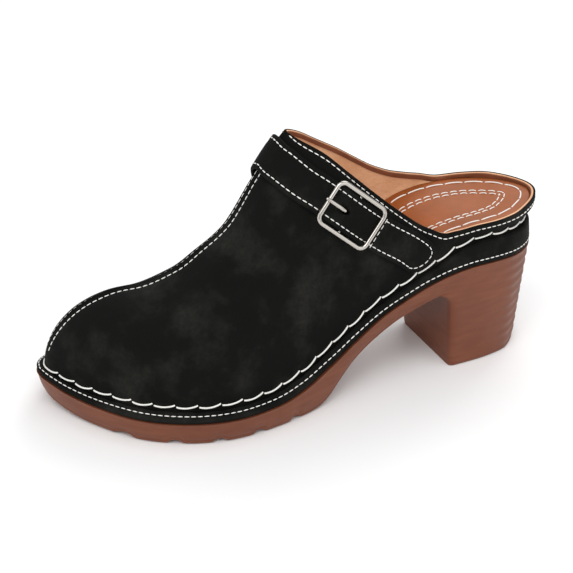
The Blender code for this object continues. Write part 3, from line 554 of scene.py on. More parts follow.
def skin(s, side, deeper, worn):
    """Rows of one skin of the upper; the worn outer one has puckers, creases and the seam."""
    rows = []
    throat = int(np.argmin(np.abs(s - THROAT)))
    distances = [0.01] * (UPPER_FACE_ROWS + 1) + list(EDGE_ROWS[1:])
    for angle, distance in zip(row_angles(s, side, deeper), distances):
        if not worn:
            rows.append(upper_point(s, side, angle, deeper))
            continue
        p, _ = upper_face(s, side, angle, deeper)
        ridge = math.exp(-(((distance - 0.0008) / 0.00055) ** 2))
        groove = math.exp(-((distance / 0.0003) ** 2))
        dip = math.exp(-(((distance - 0.0021) / 0.0006) ** 2))
        lift = SEAM_RIDGE_HEIGHT * (ridge - 0.3 * groove - 0.35 * dip)
        p[throat:, 2] += lift * smooth_step(1.0, 0.975, s[throat:])
        rows.append(p)
    return rows


def close_crown(rows, throat):
    rows[1][-1][throat:] = rows[-1][-1][throat:]


def make_upper(paints):
    """Nubuck vamp and quarters with a rolled top edge; the lining is a skin of its own inside."""
    s = face_stations(UPPER_FACE_STATIONS)
    throat = int(np.argmin(np.abs(s - THROAT)))
    half = UPPER_WALL * 0.52
    outside = {side: skin(s, side, 0.0, True) for side in (-1, 1)}
    inside = {side: skin(s, side, half, False) for side in (-1, 1)}
    close_crown(outside, throat)
    close_crown(inside, throat)
    shell = Shell()
    for side in (-1, 1):
        shell.grid(outside[side])
        shell.grid(inside[side])
        shell.grid([outside[side][0], inside[side][0]])
        lip_out, lip_in = outside[side][-1][:throat + 1], inside[side][-1][:throat + 1]
        middle = (lip_out + lip_in) / 2
        middle[:-1, 2] += 0.0003
        shell.grid([lip_out, middle, lip_in])
    upper = add_piece("upper_nubuck", shell, [paints["nubuck"]])
    hand_over(upper, "upper", "upper")
    lining_out = {side: skin(s, side, half + 0.00005, False) for side in (-1, 1)}
    lining_in = {side: skin(s, side, UPPER_WALL, False) for side in (-1, 1)}
    close_crown(lining_out, throat)
    close_crown(lining_in, throat)
    shell = Shell()
    for side in (-1, 1):
        shell.grid(lining_out[side])
        shell.grid(lining_in[side])
        shell.grid([lining_out[side][0], lining_in[side][0]])
        shell.grid([lining_out[side][-1][:throat + 1], lining_in[side][-1][:throat + 1]])
    lining = add_piece("upper_lining", shell, [paints["lining"]])
    hand_over(lining, "upper")


def thread_path(name, rows):
    """Edges-only mesh object that carries paths for the sewing nodes."""
    mesh = bpy.data.meshes.new(name)
    points, edges = [], []
    for row in rows:
        start = len(points)
        points += [tuple(map(float, p)) for p in row]
        edges += [(start + i, start + i + 1) for i in range(len(row) - 1)]
    mesh.from_pydata(points, edges, [])
    made = bpy.data.objects.new(name, mesh)
    bpy.context.scene.collection.objects.link(made)
    return made


def add_node(tree, kind, links=(), **settings):
    """Adds a node, sets its properties or inputs, and makes its (input, output socket) links."""
    made = tree.nodes.new(kind)
    for key, value in settings.items():
        if hasattr(made, key):
            setattr(made, key, value)
        else:
            made.inputs[key.replace("_", " ")].default_value = value
    for where, source in links:
        tree.links.new(source, made.inputs[where])
    return made


def sewing_nodes(paint):
    """Fine machine stitches: one grain of thread at each pitch along the paths."""
    tree = bpy.data.node_groups.new("Fine stitches", "GeometryNodeTree")
    face = tree.interface
    face.new_socket("Geometry", in_out="INPUT", socket_type="NodeSocketGeometry")
    for name in ("Pitch", "Length", "Radius"):
        socket = face.new_socket(name, in_out="INPUT", socket_type="NodeSocketFloat")
        socket.subtype = "DISTANCE"
    face.new_socket("Geometry", in_out="OUTPUT", socket_type="NodeSocketGeometry")
    start = add_node(tree, "NodeGroupInput")
    curve = add_node(tree, "GeometryNodeMeshToCurve", [(0, start.outputs["Geometry"])])
    even = add_node(tree, "GeometryNodeResampleCurve",
                    [("Curve", curve.outputs[0]), ("Length", start.outputs["Pitch"])],
                    mode="LENGTH")
    tangent = add_node(tree, "GeometryNodeInputTangent")
    turned = add_node(tree, "FunctionNodeAlignRotationToVector",
                      [("Vector", tangent.outputs[0])], axis="Z")
    grain = add_node(tree, "GeometryNodeMeshUVSphere", Segments=8, Rings=6, Radius=1.0)
    half = add_node(tree, "ShaderNodeMath", [(0, start.outputs["Length"])], operation="MULTIPLY")
    half.inputs[1].default_value = 0.5
    size = add_node(tree, "ShaderNodeCombineXYZ",
                    [("X", start.outputs["Radius"]), ("Y", start.outputs["Radius"]),
                     ("Z", half.outputs[0])])
    spread = add_node(tree, "GeometryNodeInstanceOnPoints",
                      [("Points", even.outputs[0]), ("Instance", grain.outputs["Mesh"]),
                       ("Rotation", turned.outputs[0]), ("Scale", size.outputs[0])])
    finish_tree(tree, spread.outputs[0], paint)
    return tree


def thread_nodes(paint):
    """Thick hand thread: a round thread swept along each path."""
    tree = bpy.data.node_groups.new("Hand thread", "GeometryNodeTree")
    face = tree.interface
    face.new_socket("Geometry", in_out="INPUT", socket_type="NodeSocketGeometry")
    socket = face.new_socket("Radius", in_out="INPUT", socket_type="NodeSocketFloat")
    socket.subtype = "DISTANCE"
    face.new_socket("Geometry", in_out="OUTPUT", socket_type="NodeSocketGeometry")
    start = add_node(tree, "NodeGroupInput")
    curve = add_node(tree, "GeometryNodeMeshToCurve", [(0, start.outputs["Geometry"])])
    ring = add_node(tree, "GeometryNodeCurvePrimitiveCircle", [("Radius", start.outputs["Radius"])],
                    Resolution=8)
    swept = add_node(tree, "GeometryNodeCurveToMesh", [("Curve", curve.outputs[0]),
                                                       ("Profile Curve", ring.outputs["Curve"])])
    swept.inputs["Fill Caps"].default_value = True
    finish_tree(tree, swept.outputs[0], paint)
    return tree


def finish_tree(tree, geometry, paint):
    """Realizes the instances, gives them their paint, shades them smooth and ends the tree."""
    real = add_node(tree, "GeometryNodeRealizeInstances", [(0, geometry)])
    smooth = add_node(tree, "GeometryNodeSetShadeSmooth", [(0, real.outputs[0])])
    coat = add_node(tree, "GeometryNodeSetMaterial", [("Geometry", smooth.outputs[0])])
    coat.inputs["Material"].default_value = paint
    add_node(tree, "NodeGroupOutput", [(0, coat.outputs[0])])


def sew(name, slot_name, tree, rows, **sizes):
    """Runs a sewing tree over the paths and keeps the result as a plain mesh piece."""
    path = thread_path(name + "_path", rows)
    step = path.modifiers.new("Sewing", "NODES")
    step.node_group = tree
    for item in tree.interface.items_tree:
        if item.item_type == "SOCKET" and item.in_out == "INPUT" and item.name in sizes:
            step[item.identifier] = sizes[item.name]
    path.update_tag()
    bpy.context.view_layer.update()
    shaped = path.evaluated_get(bpy.context.evaluated_depsgraph_get())
    mesh = bpy.data.meshes.new_from_object(shaped)
    mesh.name = name
    path.modifiers.remove(step)
    bpy.data.objects.remove(path, do_unlink=True)
    made = bpy.data.objects.new(name, mesh)
    bpy.context.scene.collection.objects.link(made)
    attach(made, "root")


def notch_edges():
    """Height steps of the tread's notches as (y, depth) pairs along the forefoot."""
    edges = []
    for i in range(NOTCH_COUNT):
        middle = station_y(NOTCH_START + (NOTCH_END - NOTCH_START) * i / (NOTCH_COUNT - 1))
        half = NOTCH_WIDTH / 2
        edges += [(middle - half - NOTCH_SLOPE, 0.0), (middle - half, NOTCH_DEPTH),
                  (middle + half, NOTCH_DEPTH), (middle + half + NOTCH_SLOPE, 0.0)]
    return edges


def tread_height(y):
    """Underside with its softened notches."""
    ys = [-HEEL_SETBACK] + [e[0] for e in notch_edges()] + [station_y(1.0)]
    depth = [0.0] + [e[1] for e in notch_edges()] + [0.0]
    soft = sum(np.interp(y + shift, ys, depth) for shift in (-0.0007, 0.0, 0.0007)) / 3
    return under_height(y) + soft


def tread_tuck(y):
    ahead = smooth_step(HEEL_BREAST, HEEL_BREAST + 0.06, y)
    return SIDE_TUCK + ARCH_TUCK + (TREAD_TUCK - ARCH_TUCK) * ahead


def insole_top(y):
    """Height of the footbed's edge."""
    heel = HEEL_RIM_HEIGHT - INSOLE_EDGE_DROP
    level = read(FOOTBED, FOOTBED_COLUMNS, "height", share(y))
    fore = INSOLE_FORE_HEIGHT / heel
    low = FOOTBED[-1][1]
    level = fore + (level - low) * (1 - fore) / (1 - low)
    return edge_height(y) + heel * level


def core_inset(y):
    return upper_inset(y) + UPPER_WALL + CORE_GAP


HEEL_ROWS = 70
PLATFORM_ROWS = 16
SOLE_ACROSS = 22
CORNER_COLUMNS = 5


def arch_height():
    return float(under_height(HEEL_BREAST + HEEL_BREAST_RADIUS))


def heel_inset(level, inward):
    """Taper of the block, with soft wavy ribs round its back."""
    back = smooth_step(0.1, 0.75, inward[:, 1])
    side_taper = np.where(inward[:, 0] > 0, HEEL_TAPER_OUTER, HEEL_TAPER_INNER)
    taper = side_taper + (HEEL_TAPER_BACK - side_taper) * smooth_step(0.3, 0.9, inward[:, 1])
    ripple = 0.35 * np.sin(inward[:, 0] * 9.0 + 2.0 * level)
    wave = (0.5 - 0.5 * np.cos(2 * math.pi * RIB_COUNT * level + ripple)) ** 0.8
    ends = smooth_step(0.0, 0.03, level) * smooth_step(1.0, 0.97, level)
    foot = 0.0009 * (1 - smooth_step(0.0, 0.018, level))
    return taper * (1 - level) + look().rib_depth * wave * back * ends + foot


def make_sole(paints):
    """Platform, arch and block heel as one moulding, with its ribs, side line and tread notches."""
    arch = arch_height()
    edges = [share(e[0]) for e in notch_edges()]
    ahead = np.sort(np.concatenate([
        np.linspace(float(share(HEEL_BREAST + HEEL_BREAST_RADIUS)), 1.0, 180),
        edges, [e + d for e in edges for d in (-0.003, 0.003)],
        1 - 0.006 * np.linspace(0.02, 1, 9) ** 2]))
    ahead = ahead[np.r_[True, np.diff(ahead) > 2e-4]]
    ahead[-1] = 1.0
    turn = np.linspace(0, 1, 60)
    behind = float(share(HEEL_BREAST - HEEL_CORNER_RADIUS)) * (1 - np.cos(turn * math.pi / 2))
    shell = Shell()

    def heel_row(side, z_share):
        """One level of the block's side from the heel's back to its breast corner."""
        p, inward = side_point(behind, side)
        top = edge_height(p[:, 1])
        z = z_share * top
        p = p + inward * heel_inset(z_share, inward)[:, None]
        return np.concatenate([p, z[:, None]], 1)

    def breast_y(z):
        climb = min(max((z - (arch - HEEL_BREAST_RADIUS)) / HEEL_BREAST_RADIUS, 0.0), 1.0)
        sweep = HEEL_BREAST_RADIUS * (1 - math.sqrt(1 - climb * climb))
        return HEEL_BREAST + HEEL_BREAST_LEAN * z + sweep

    low_share = arch / float(edge_height(HEEL_BREAST))
    lows = np.linspace(0, 1, HEEL_ROWS + 1) * low_share
    highs = np.linspace(low_share, 1, PLATFORM_ROWS + 1)
    blocks = {}
    for side in (-1, 1):
        rows = [heel_row(side, v) for v in np.r_[lows, highs[1:]]]
        corner = []
        for k, v in enumerate(lows):
            end = rows[k][-1]
            r = HEEL_CORNER_RADIUS * (1 - 0.5 * smooth_step(0.8, 1.0, v / low_share))
            reach = breast_y(end[2]) - end[1]
            cols = []
            for j in range(1, CORNER_COLUMNS + 1):
                a = math.pi / 2 * j / CORNER_COLUMNS
                cols.append((end[0] - side * r * (1 - math.cos(a)), end[1] + reach * math.sin(a),
                             end[2]))
            corner.append(cols)
        joined = [np.concatenate([rows[k], np.array(corner[k])]) for k in range(len(lows))]
        shell.grid(joined)
        blocks[side] = (rows, corner)
    # Breast face between the two corners, and the heel's tread.
    breast = []
    for k in range(len(lows)):
        a, b = np.array(blocks[-1][1][k][-1]), np.array(blocks[1][1][k][-1])
        breast.append([a + (b - a) * t for t in np.linspace(0, 1, SOLE_ACROSS + 1)])
    shell.grid(breast)
    ring = [list(map(tuple, blocks[s_][0][0])) + blocks[s_][1][0] for s_ in (-1, 1)]
    bottom = []
    for a, b in zip(ring[0], ring[1]):
        a, b = np.array(a), np.array(b)
        bottom.append([a + (b - a) * t for t in np.linspace(0, 1, SOLE_ACROSS + 1)])
    shell.grid(bottom)
    # Platform: the side above the arch line, forward from the heel to the toe.
    sides = {}
    for side in (-1, 1):
        p, inward = side_point(ahead, side)
        y = p[:, 1]
        under, top = tread_height(y), edge_height(y)
        line = under + np.minimum(SIDE_LINE_HEIGHT, (top - under) * 0.4)
        rows = []
        for t in np.linspace(0, 1, PLATFORM_ROWS + 1):
            z = under + (top - under) * t
            lean = tread_tuck(y) * (1 - t) + SIDE_TUCK * t
            swell = 0.0005 * math.sin(math.pi * t) + 0.0004 * (t > 0.93) * (t - 0.93) / 0.07
            groove = (0.00045 * np.exp(-((z - line) / 0.00055) ** 2)
                      * smooth_step(0.0, 0.05, ahead - ahead[0]))
            round_low = 0.0008 * (1 - min(t / 0.09, 1.0)) ** 2
            inset = lean - swell + groove + round_low
            rows.append(np.concatenate([p + inward * inset[:, None], z[:, None]], 1))
        sides[side] = rows
    for side in (-1, 1):
        rows, corner = blocks[side]
        bridge = []
        for k in range(PLATFORM_ROWS + 1):
            start = rows[HEEL_ROWS + k][-1]
            goal = sides[side][k][0]
            if k == 0:
                steps = [start] + [np.array(c) for c in corner[-1]]
            else:
                steps = [start + (goal - start) * t for t in np.linspace(0, 1, CORNER_COLUMNS + 1)]
            bridge.append(steps + [goal])
        shell.grid([np.array(b) for b in bridge])
        shell.grid(rows[HEEL_ROWS:HEEL_ROWS + PLATFORM_ROWS + 1])
        shell.grid(sides[side])
    # Underside from the breast's top to the toe.
    strips = [breast[-1]]
    for a, b in zip(sides[-1][0], sides[1][0]):
        strips.append([a + (b - a) * t for t in np.linspace(0, 1, SOLE_ACROSS + 1)])
    shell.grid(strips)
    # Ledge under the strip, and the core inside the upper.
    stations = np.r_[behind, ahead]
    top_rows = {}
    for side in (-1, 1):
        top = np.concatenate([blocks[side][0][-1], sides[side][-1]])
        inner, _ = side_point(stations, side, core_inset)
        z = edge_height(inner[:, 1])
        ledge = np.concatenate([inner, z[:, None]], 1)
        high = insole_top(inner[:, 1]) - INSOLE_THICKNESS - INSOLE_CUP - 2 * FIT_GAP
        core = np.concatenate([inner, high[:, None]], 1)
        shell.grid([top, ledge, core])
        top_rows[side] = core
    shell.grid([top_rows[-1], top_rows[1]])
    sole = add_piece("sole_moulding", shell, [paints["sole"]], 50)
    hand_over(sole, "sole", "sole")


def make_rand(paints):
    """Strip of nubuck with rounded edges, drawn in a little at each hand stitch."""
    s = face_stations(260)
    shell = Shell()
    for side in (-1, 1):
        p, inward = side_point(s, side)
        y = p[:, 1]
        angle, width, foot = rand_angle(y), rand_width(y), edge_height(y) + FIT_GAP
        t = RAND_THICKNESS
        pinch = 1 - np.abs(np.sin(math.pi * stitch_phase(s, side)))
        draw = 0.00045 * pinch * smooth_step(1.0, 0.98, s)
        profile = [(c, 1.0) for c in (0.06, 0.3, 0.55, 0.8, 0.94)]
        profile += [(0.985, 0.85), (1.0, 0.5), (0.985, 0.15)]
        profile += [(c, 0.0) for c in (0.94, 0.5, 0.06)]
        profile += [(0.015, 0.15), (0.0, 0.5), (0.015, 0.85)]
        rows = []
        for along, thick in profile:
            shrink = draw * (along > 0.9)
            w = width * along - shrink
            h = (1 - thick) * t
            sag = 0.00018 * math.sin(math.pi * min(along, 1)) * (thick > 0.8)
            run = w * np.cos(angle) + h * np.sin(angle)
            rise = t * np.cos(angle) + w * np.sin(angle) - h * np.cos(angle)
            xy = p + inward * (run - sag * np.sin(angle))[:, None]
            rows.append(np.concatenate([xy, (foot + rise + sag * np.cos(angle))[:, None]], 1))
        shell.grid(rows + [rows[0]])
    rand = add_piece("rand_strip", shell, [paints["nubuck"]], 60)
    hand_over(rand, "rand", "rand")


def make_insole(paints):
    """Tan footbed, dished, with a pale raw edge under it."""
    s = np.unique(np.concatenate([np.linspace(0, 1, 160), even_stations(60)]))
    across = np.array([0.0, 0.02, 0.06, 0.12, 0.2, 0.3, 0.4, 0.5,
                       0.6, 0.7, 0.8, 0.88, 0.94, 0.98, 1.0])
    sides = {}
    for side in (-1, 1):
        p, _ = side_point(s, side, core_inset)
        z = insole_top(p[:, 1])
        wall, inward = wall_at_height(s, side, z, UPPER_WALL)
        lower, _ = wall_at_height(s, side, z - INSOLE_THICKNESS, UPPER_WALL)
        gap = 2 * FIT_GAP
        sides[side] = (np.c_[wall[:, :2] + inward * gap, z],
                       np.c_[lower[:, :2] + inward * gap, z - INSOLE_THICKNESS])
    cup = INSOLE_CUP * smooth_step(0.0, 0.12, s) * smooth_step(1.0, 0.88, s)
    shell = Shell()
    for level in (0, 1):
        outer, inner = sides[-1][level], sides[1][level]
        rows = []
        for a in across:
            row = outer + (inner - outer) * a
            row[:, 2] -= cup * math.sin(math.pi * a) ** 0.9
            width = np.linalg.norm(inner - outer, axis=1)
            near = np.minimum(a, 1 - a) * width
            rounding = (1 - np.clip(near / 0.0012, 0, 1)) ** 2
            row[:, 2] -= 0.0005 * (level == 0) * rounding * (s > 0) * (s < 1)
            rows.append(row)
        if level == 0:
            tops = rows
        shell.grid(rows, 1 if level else 0)
    for side in (-1, 1):
        shell.grid([tops[0 if side < 0 else -1], sides[side][1]], 1)
    insole = add_piece("footbed", shell, [paints["insole"], paints["edge"]], 50)
    hand_over(insole, "insole", "insole")


def on_upper(s, turn):
    """Points of the upper's outer face; turn runs over the crown from outer to inner base."""
    s, turn = np.broadcast_arrays(np.asarray(s, float), np.asarray(turn, float))
    angle = np.where(turn <= 1, turn, 2 - turn) * math.pi / 2
    return np.where((turn <= 1)[..., None], upper_point(s, -1, angle), upper_point(s, 1, angle))


def upper_frame(s, turn):
    """Points, the two surface directions and the outward normals at places on the upper."""
    step = 2e-3
    here = on_upper(s, turn)
    along = (on_upper(s + step, turn) - on_upper(s - step, turn)) / (2 * step)
    around = (on_upper(s, turn + step) - on_upper(s, turn - step)) / (2 * step)
    normal = np.cross(around, along)
    normal /= np.linalg.norm(normal, axis=-1)[..., None]
    return here, along, around, normal


def step_on_upper(s, turn, move):
    """Places on the upper that lie a short move away, found by a few corrections."""
    target = on_upper(s, turn) + move
    for _ in range(3):
        here, along, around, _ = upper_frame(s, turn)
        miss = target - here
        aa, bb, ab = (along * along).sum(-1), (around * around).sum(-1), (along * around).sum(-1)
        am, bm = (along * miss).sum(-1), (around * miss).sum(-1)
        det = aa * bb - ab * ab
        s = s + (bb * am - ab * bm) / det
        turn = turn + (aa * bm - ab * am) / det
    return s, turn


def strap_line():
    """Middle line of the strap: close places on the upper with distances from the tail."""
    rows = np.array(STRAP)
    knots = on_upper(rows[:, 0], rows[:, 1])
    length = np.r_[0, np.cumsum(np.linalg.norm(np.diff(knots, axis=0), axis=1))]
    d = np.linspace(0, length[-1], 160)
    places = np.stack([smooth_through(length, rows[:, k], d) for k in (0, 1)], 1)
    points = on_upper(places[:, 0], places[:, 1])
    return places, np.r_[0, np.cumsum(np.linalg.norm(np.diff(points, axis=0), axis=1))]


PLACES, RUN = strap_line()


def strap_place(distance):
    return np.interp(distance, RUN, PLACES[:, 0]), np.interp(distance, RUN, PLACES[:, 1])


def buckle_distance():
    return float(RUN[int(np.argmin(np.linalg.norm(PLACES - np.array(BUCKLE_AT), axis=1)))])


def strap_lift(distance):
    """Extra height of the strap where it rides over the buckle's centre bar."""
    away = np.abs(distance - buckle_distance())
    return (CENTRE_BAR + 2 * FIT_GAP) * (1 - smooth_step(CENTRE_BAR * 0.6, HUMP_REACH, away))


def seam_lift(turn):
    return SEAM_RIDGE_HEIGHT * (1 - smooth_step(0.08, 0.35, np.abs(turn - 1)))


def strap_net():
    """Grid of underside points and normals over the strap, along its length and across it."""
    d = np.linspace(0, RUN[-1], 170)
    parts = np.linspace(-1, 1, 17)
    s, turn = strap_place(d)
    _, _, _, normal = upper_frame(s, turn)
    ahead = on_upper(*strap_place(np.minimum(d + 0.002, RUN[-1])))
    back = on_upper(*strap_place(np.maximum(d - 0.002, 0)))
    across = np.cross(normal, ahead - back)
    across /= np.linalg.norm(across, axis=1)[:, None]
    points, normals = [], []
    for part in parts:
        place = step_on_upper(s, turn, across * part * STRAP_WIDTH / 2)
        p, _, _, n = upper_frame(*place)
        gap = FIT_GAP + strap_lift(d) + seam_lift(place[1])
        points.append(p + n * gap[:, None])
        normals.append(n)
    return d, parts, np.stack(points, 1), np.stack(normals, 1)


NET = strap_net()


def strap_point(distance, part, height, half=STRAP_WIDTH / 2):
    """Point on the strap by distance from its tail, part across (-1 to 1) and height."""
    d, parts, points, normals = NET
    i = min(max(distance, 0.0) / d[-1] * (len(d) - 1), len(d) - 1.001)
    j = (part * half / (STRAP_WIDTH / 2) + 1) / 2 * (len(parts) - 1)
    j = min(max(j, 0.0), len(parts) - 1.001)
    a, b, u, v = int(i), int(j), i - int(i), j - int(j)

    def at(net):
        return ((net[a, b] * (1 - v) + net[a, b + 1] * v) * (1 - u)
                + (net[a + 1, b] * (1 - v) + net[a + 1, b + 1] * v) * u)
    return at(points) + at(normals) * height


def buckle_axes():
    """Middle of the buckle on the upper with its directions: up the strap, across it, outwards."""
    middle = buckle_distance()
    here = on_upper(*strap_place(middle))
    reach = FRAME_LENGTH / 2
    _, _, _, normal = upper_frame(*strap_place(middle))
    up = on_upper(*strap_place(middle + reach)) - on_upper(*strap_place(middle - reach))
    up -= normal * np.dot(up, normal)
    up /= np.linalg.norm(up)
    return here, up, np.cross(normal, up), normal


def strap_half(distance):
    """Half width of the strap; its tail is round."""
    half = STRAP_WIDTH / 2
    return half if distance >= half else math.sqrt(max(half**2 - (half - distance) ** 2, 0.0))


def make_strap(paints):
    """Instep strap with softly rounded edges, a round tail and the prong's slot."""
    half = STRAP_WIDTH / 2
    tail = half * (1 - np.cos(np.linspace(0, math.pi / 2, 16)))
    distances = np.r_[tail[:-1], np.linspace(half, RUN[-1], 110)]
    t = STRAP_THICKNESS
    profile = [(-0.94, 0.0), (-0.5, 0.0), (0.0, 0.0), (0.5, 0.0), (0.94, 0.0), (0.985, 0.15),
               (1.0, 0.5), (0.985, 0.86), (0.94, 1.0), (0.75, 1.04), (0.38, 1.07), (0.0, 1.08),
               (-0.38, 1.07), (-0.75, 1.04), (-0.94, 1.0), (-0.985, 0.86), (-1.0, 0.5),
               (-0.985, 0.15)]
    rings = []
    for d in distances:
        reach = max(strap_half(d), 1e-5)
        small = 1.0 if d > 0.0012 else 0.6
        rings.append([strap_point(d, a, t * (0.5 + (b - 0.5) * small), reach) for a, b in profile])
    shell = Shell()
    shell.ring(rings)
    for ring in (rings[0], rings[-1]):
        last = len(ring) - 1
        for i in range(len(ring) // 2 - 1):
            shell.face([ring[i], ring[i + 1], ring[last - 1 - i], ring[last - i]])
    strap = add_piece("instep_strap", shell, [paints["nubuck"]], 60)
    here, up, across, normal = buckle_axes()
    cut_slot(strap, here + up * (PRONG_HOLE_FRONT + PRONG_HOLE_BACK) / 2, up, across, normal)
    hand_over(strap, "strap", "strap")


def cut_slot(strap, middle, up, across, normal):
    """Cut an oval slot for the prong through the strap."""
    shell = Shell()
    rings = []
    for depth in (-0.006, 0.006):
        ring = []
        for k in range(24):
            a = 2 * math.pi * k / 24
            ring.append(middle + up * (PRONG_HOLE_FRONT - PRONG_HOLE_BACK) / 2 * math.cos(a)
                        + across * (PRONG_WIDTH / 2 + 2 * FIT_GAP) * math.sin(a) + normal * depth)
        rings.append(ring)
    shell.ring(rings)
    shell.face(rings[0])
    shell.face(rings[1])
    tool = add_piece("slot_tool", shell, [strap.data.materials[0]])
    step = strap.modifiers.new("Slot", "BOOLEAN")
    step.operation, step.solver, step.object = "DIFFERENCE", "EXACT", tool
    bpy.context.view_layer.update()
    shaped = strap.evaluated_get(bpy.context.evaluated_depsgraph_get())
    cut = bpy.data.meshes.new_from_object(shaped)
    strap.modifiers.remove(step)
    strap.data = cut
    bpy.data.objects.remove(tool, do_unlink=True)


def frame_height():
    """Height of the frame's plane over the upper at its middle, so its end bars clear the strap."""
    here, up, across, normal = buckle_axes()
    reach = FRAME_LENGTH / 2 - FRAME_BAR / 2
    need = []
    for sign in (-1, 1):
        for part in (-1, -0.5, 0, 0.5, 1):
            distance = buckle_distance() + sign * reach
            s, turn = strap_place(distance)
            p, _, _, n = upper_frame(*step_on_upper(s, turn, across * part * STRAP_WIDTH / 2))
            top = p + n * (FIT_GAP + STRAP_THICKNESS + strap_lift(distance))
            need.append(np.dot(top - here, normal) + FIT_GAP + FRAME_BAR / 2)
    return max(need)


def tube(shell, path, radius_a, radius_b, axis, closed, sides=16):
    """Round bar along a path; axis is a direction never along the path."""
    count = len(path)
    rings = []
    for i, p in enumerate(path):
        before = path[i - 1] if closed or i > 0 else path[i]
        after = path[(i + 1) % count] if closed or i < count - 1 else path[i]
        ahead = after - before
        ahead = ahead / np.linalg.norm(ahead)
        side = np.cross(ahead, axis)
        side /= np.linalg.norm(side)
        rise = np.cross(side, ahead)
        turns = 2 * math.pi * np.arange(sides) / sides
        rings.append([p + side * radius_a[i] * math.cos(a) + rise * radius_b[i] * math.sin(a)
                      for a in turns])
    if closed:
        rings.append(rings[0])
    shell.ring(rings)
    if not closed:
        shell.face(rings[0])
        shell.face(rings[-1][::-1])


def make_buckle(paints):
    """Polished frame with its centre bar under the strap, and the tapered prong on it."""
    here, up, across, normal = buckle_axes()
    plane = here + normal * frame_height()
    half_long = FRAME_LENGTH / 2 - FRAME_BAR / 2
    half_wide = STRAP_WIDTH / 2 + STRAP_SIDE_GAP + FRAME_BAR / 2
    path = []
    for quarter, (a, b) in enumerate(((1, 1), (-1, 1), (-1, -1), (1, -1))):
        for k in range(11):
            turn = math.pi / 2 * (quarter + k / 10)
            u = a * (half_long - FRAME_CORNER) + FRAME_CORNER * math.cos(turn)
            v = b * (half_wide - FRAME_CORNER) + FRAME_CORNER * math.sin(turn)
            path.append(plane + up * u + across * v)
    shell = Shell()
    wide = [FRAME_BAR / 2] * len(path)
    thick = [FRAME_BAR / 2 * 0.9] * len(path)
    tube(shell, path, wide, thick, normal, True, 20)
    low = here + normal * (2 * FIT_GAP + CENTRE_BAR / 2)
    bend = 0.93 * half_wide
    bar = [plane + across * half_wide, low + across * bend, low - across * bend,
           plane - across * half_wide]
    tube(shell, bar, [CENTRE_BAR / 2] * 4, [CENTRE_BAR / 2] * 4, up, False, 12)
    frame_piece = add_piece("buckle_bars", shell, [paints["silver"]], 50)
    hand_over(frame_piece, "metal", "buckle_frame")
    height = frame_height()
    front = FRAME_LENGTH / 2 - FRAME_BAR / 2
    rest = height + FRAME_BAR / 2 + FIT_GAP + PRONG_WIDTH / 2
    start = CENTRE_BAR / 2 + FIT_GAP + PRONG_WIDTH / 2
    base = 2 * FIT_GAP + CENTRE_BAR / 2
    knots = [(start, base, 1.0), (start + 0.0015, base + CENTRE_BAR * 0.4, 1.0),
             (PRONG_HOLE_FRONT - 0.0035, rest - 0.001, 1.0), (PRONG_HOLE_FRONT, rest + 0.0002, 1.0),
             (front, rest, 0.9), (front + PRONG_OVERHANG, rest - 0.0004, 0.6),
             (front + PRONG_OVERHANG + 0.0004, rest - 0.00055, 0.2)]
    run = np.linspace(0, len(knots) - 1, 40)
    place = np.arange(len(knots))
    us, hs, ws = (smooth_through(place, [k[i] for k in knots], run) for i in range(3))
    path = [here + up * u + normal * h for u, h in zip(us, hs)]
    shell = Shell()
    radius = [PRONG_WIDTH / 2 * w for w in ws]
    tube(shell, path, radius, radius, across, False, 14)
    prong = add_piece("buckle_pin", shell, [paints["silver"]], 50)
    hand_over(prong, "metal", "buckle_prong")


def below_top(s, side, distance, deeper=0.0):
    """Surface points and normals at a distance below the upper's top edge or crown."""
    return upper_face(s, side, angle_below(s, side, distance, deeper), deeper)


def seam_rows():
    """Machine rows each side of the vamp's centre seam."""
    rows = []
    s = np.linspace(0.556, 0.990, 160)
    for side in (-1, 1):
        p, n = below_top(s, side, SEAM_ROW_DROP)
        rows.append(p - n * 0.00008)
    return rows


def topline_rows():
    """Machine row under the top edge, from the throat round the heel rim and back."""
    halves = []
    s = np.linspace(THROAT - 0.001, 0.0, 200)
    for side in (-1, 1):
        p, n = below_top(s, side, TOPLINE_ROW_DROP)
        halves.append(p + n * 0.00010)
    return [np.concatenate([halves[0], halves[1][::-1][1:]])]


def strip_rows():
    """Machine row along the outer part of the strip."""
    row = []
    for side, stations in ((-1, np.linspace(0, 1, 220)), (1, np.linspace(1, 0, 220))):
        p, inward = side_point(stations, side)
        y = p[:, 1]
        angle, foot, t = rand_angle(y), edge_height(y) + FIT_GAP, RAND_THICKNESS
        w = np.minimum(STRIP_ROW_INSET, rand_width(y) * 0.45)
        run, rise = w * np.cos(angle), t * np.cos(angle) + w * np.sin(angle)
        out = 0.00022
        xy = p + inward * (run - out * np.sin(angle))[:, None]
        row += list(np.concatenate([xy, (foot + rise + out * np.cos(angle))[:, None]], 1))
    return [row]


def hand_rows():
    """One bowed length of thick thread from needle hole to needle hole, all round the base."""
    rows = []
    f = np.linspace(0.03, 0.95, 17)
    bow = np.sin(math.pi * f)
    for side in (-1, 1):
        stations, run = BASE_RUNS[side]
        count = stitch_count(side)
        for k in range(count):
            s = np.clip(np.interp((k + f) / count * run[-1], run, stations), 0, 1)
            rise = hand_line_rise(s) + 0.0010 - 0.0007 * bow + 0.0009 * (1 - f)
            _, _, _, foot, top, power = section(s, side)
            ratio = np.clip(rise / np.maximum(top - foot, 1e-6), 0, 1)
            p, n = upper_face(s, side, np.arcsin(ratio ** (1 / power)))
            sink = LONG_RADIUS * (1.1 * np.minimum(1, bow * 3) - 0.5)
            rows.append(p + n * sink[:, None])
    return rows


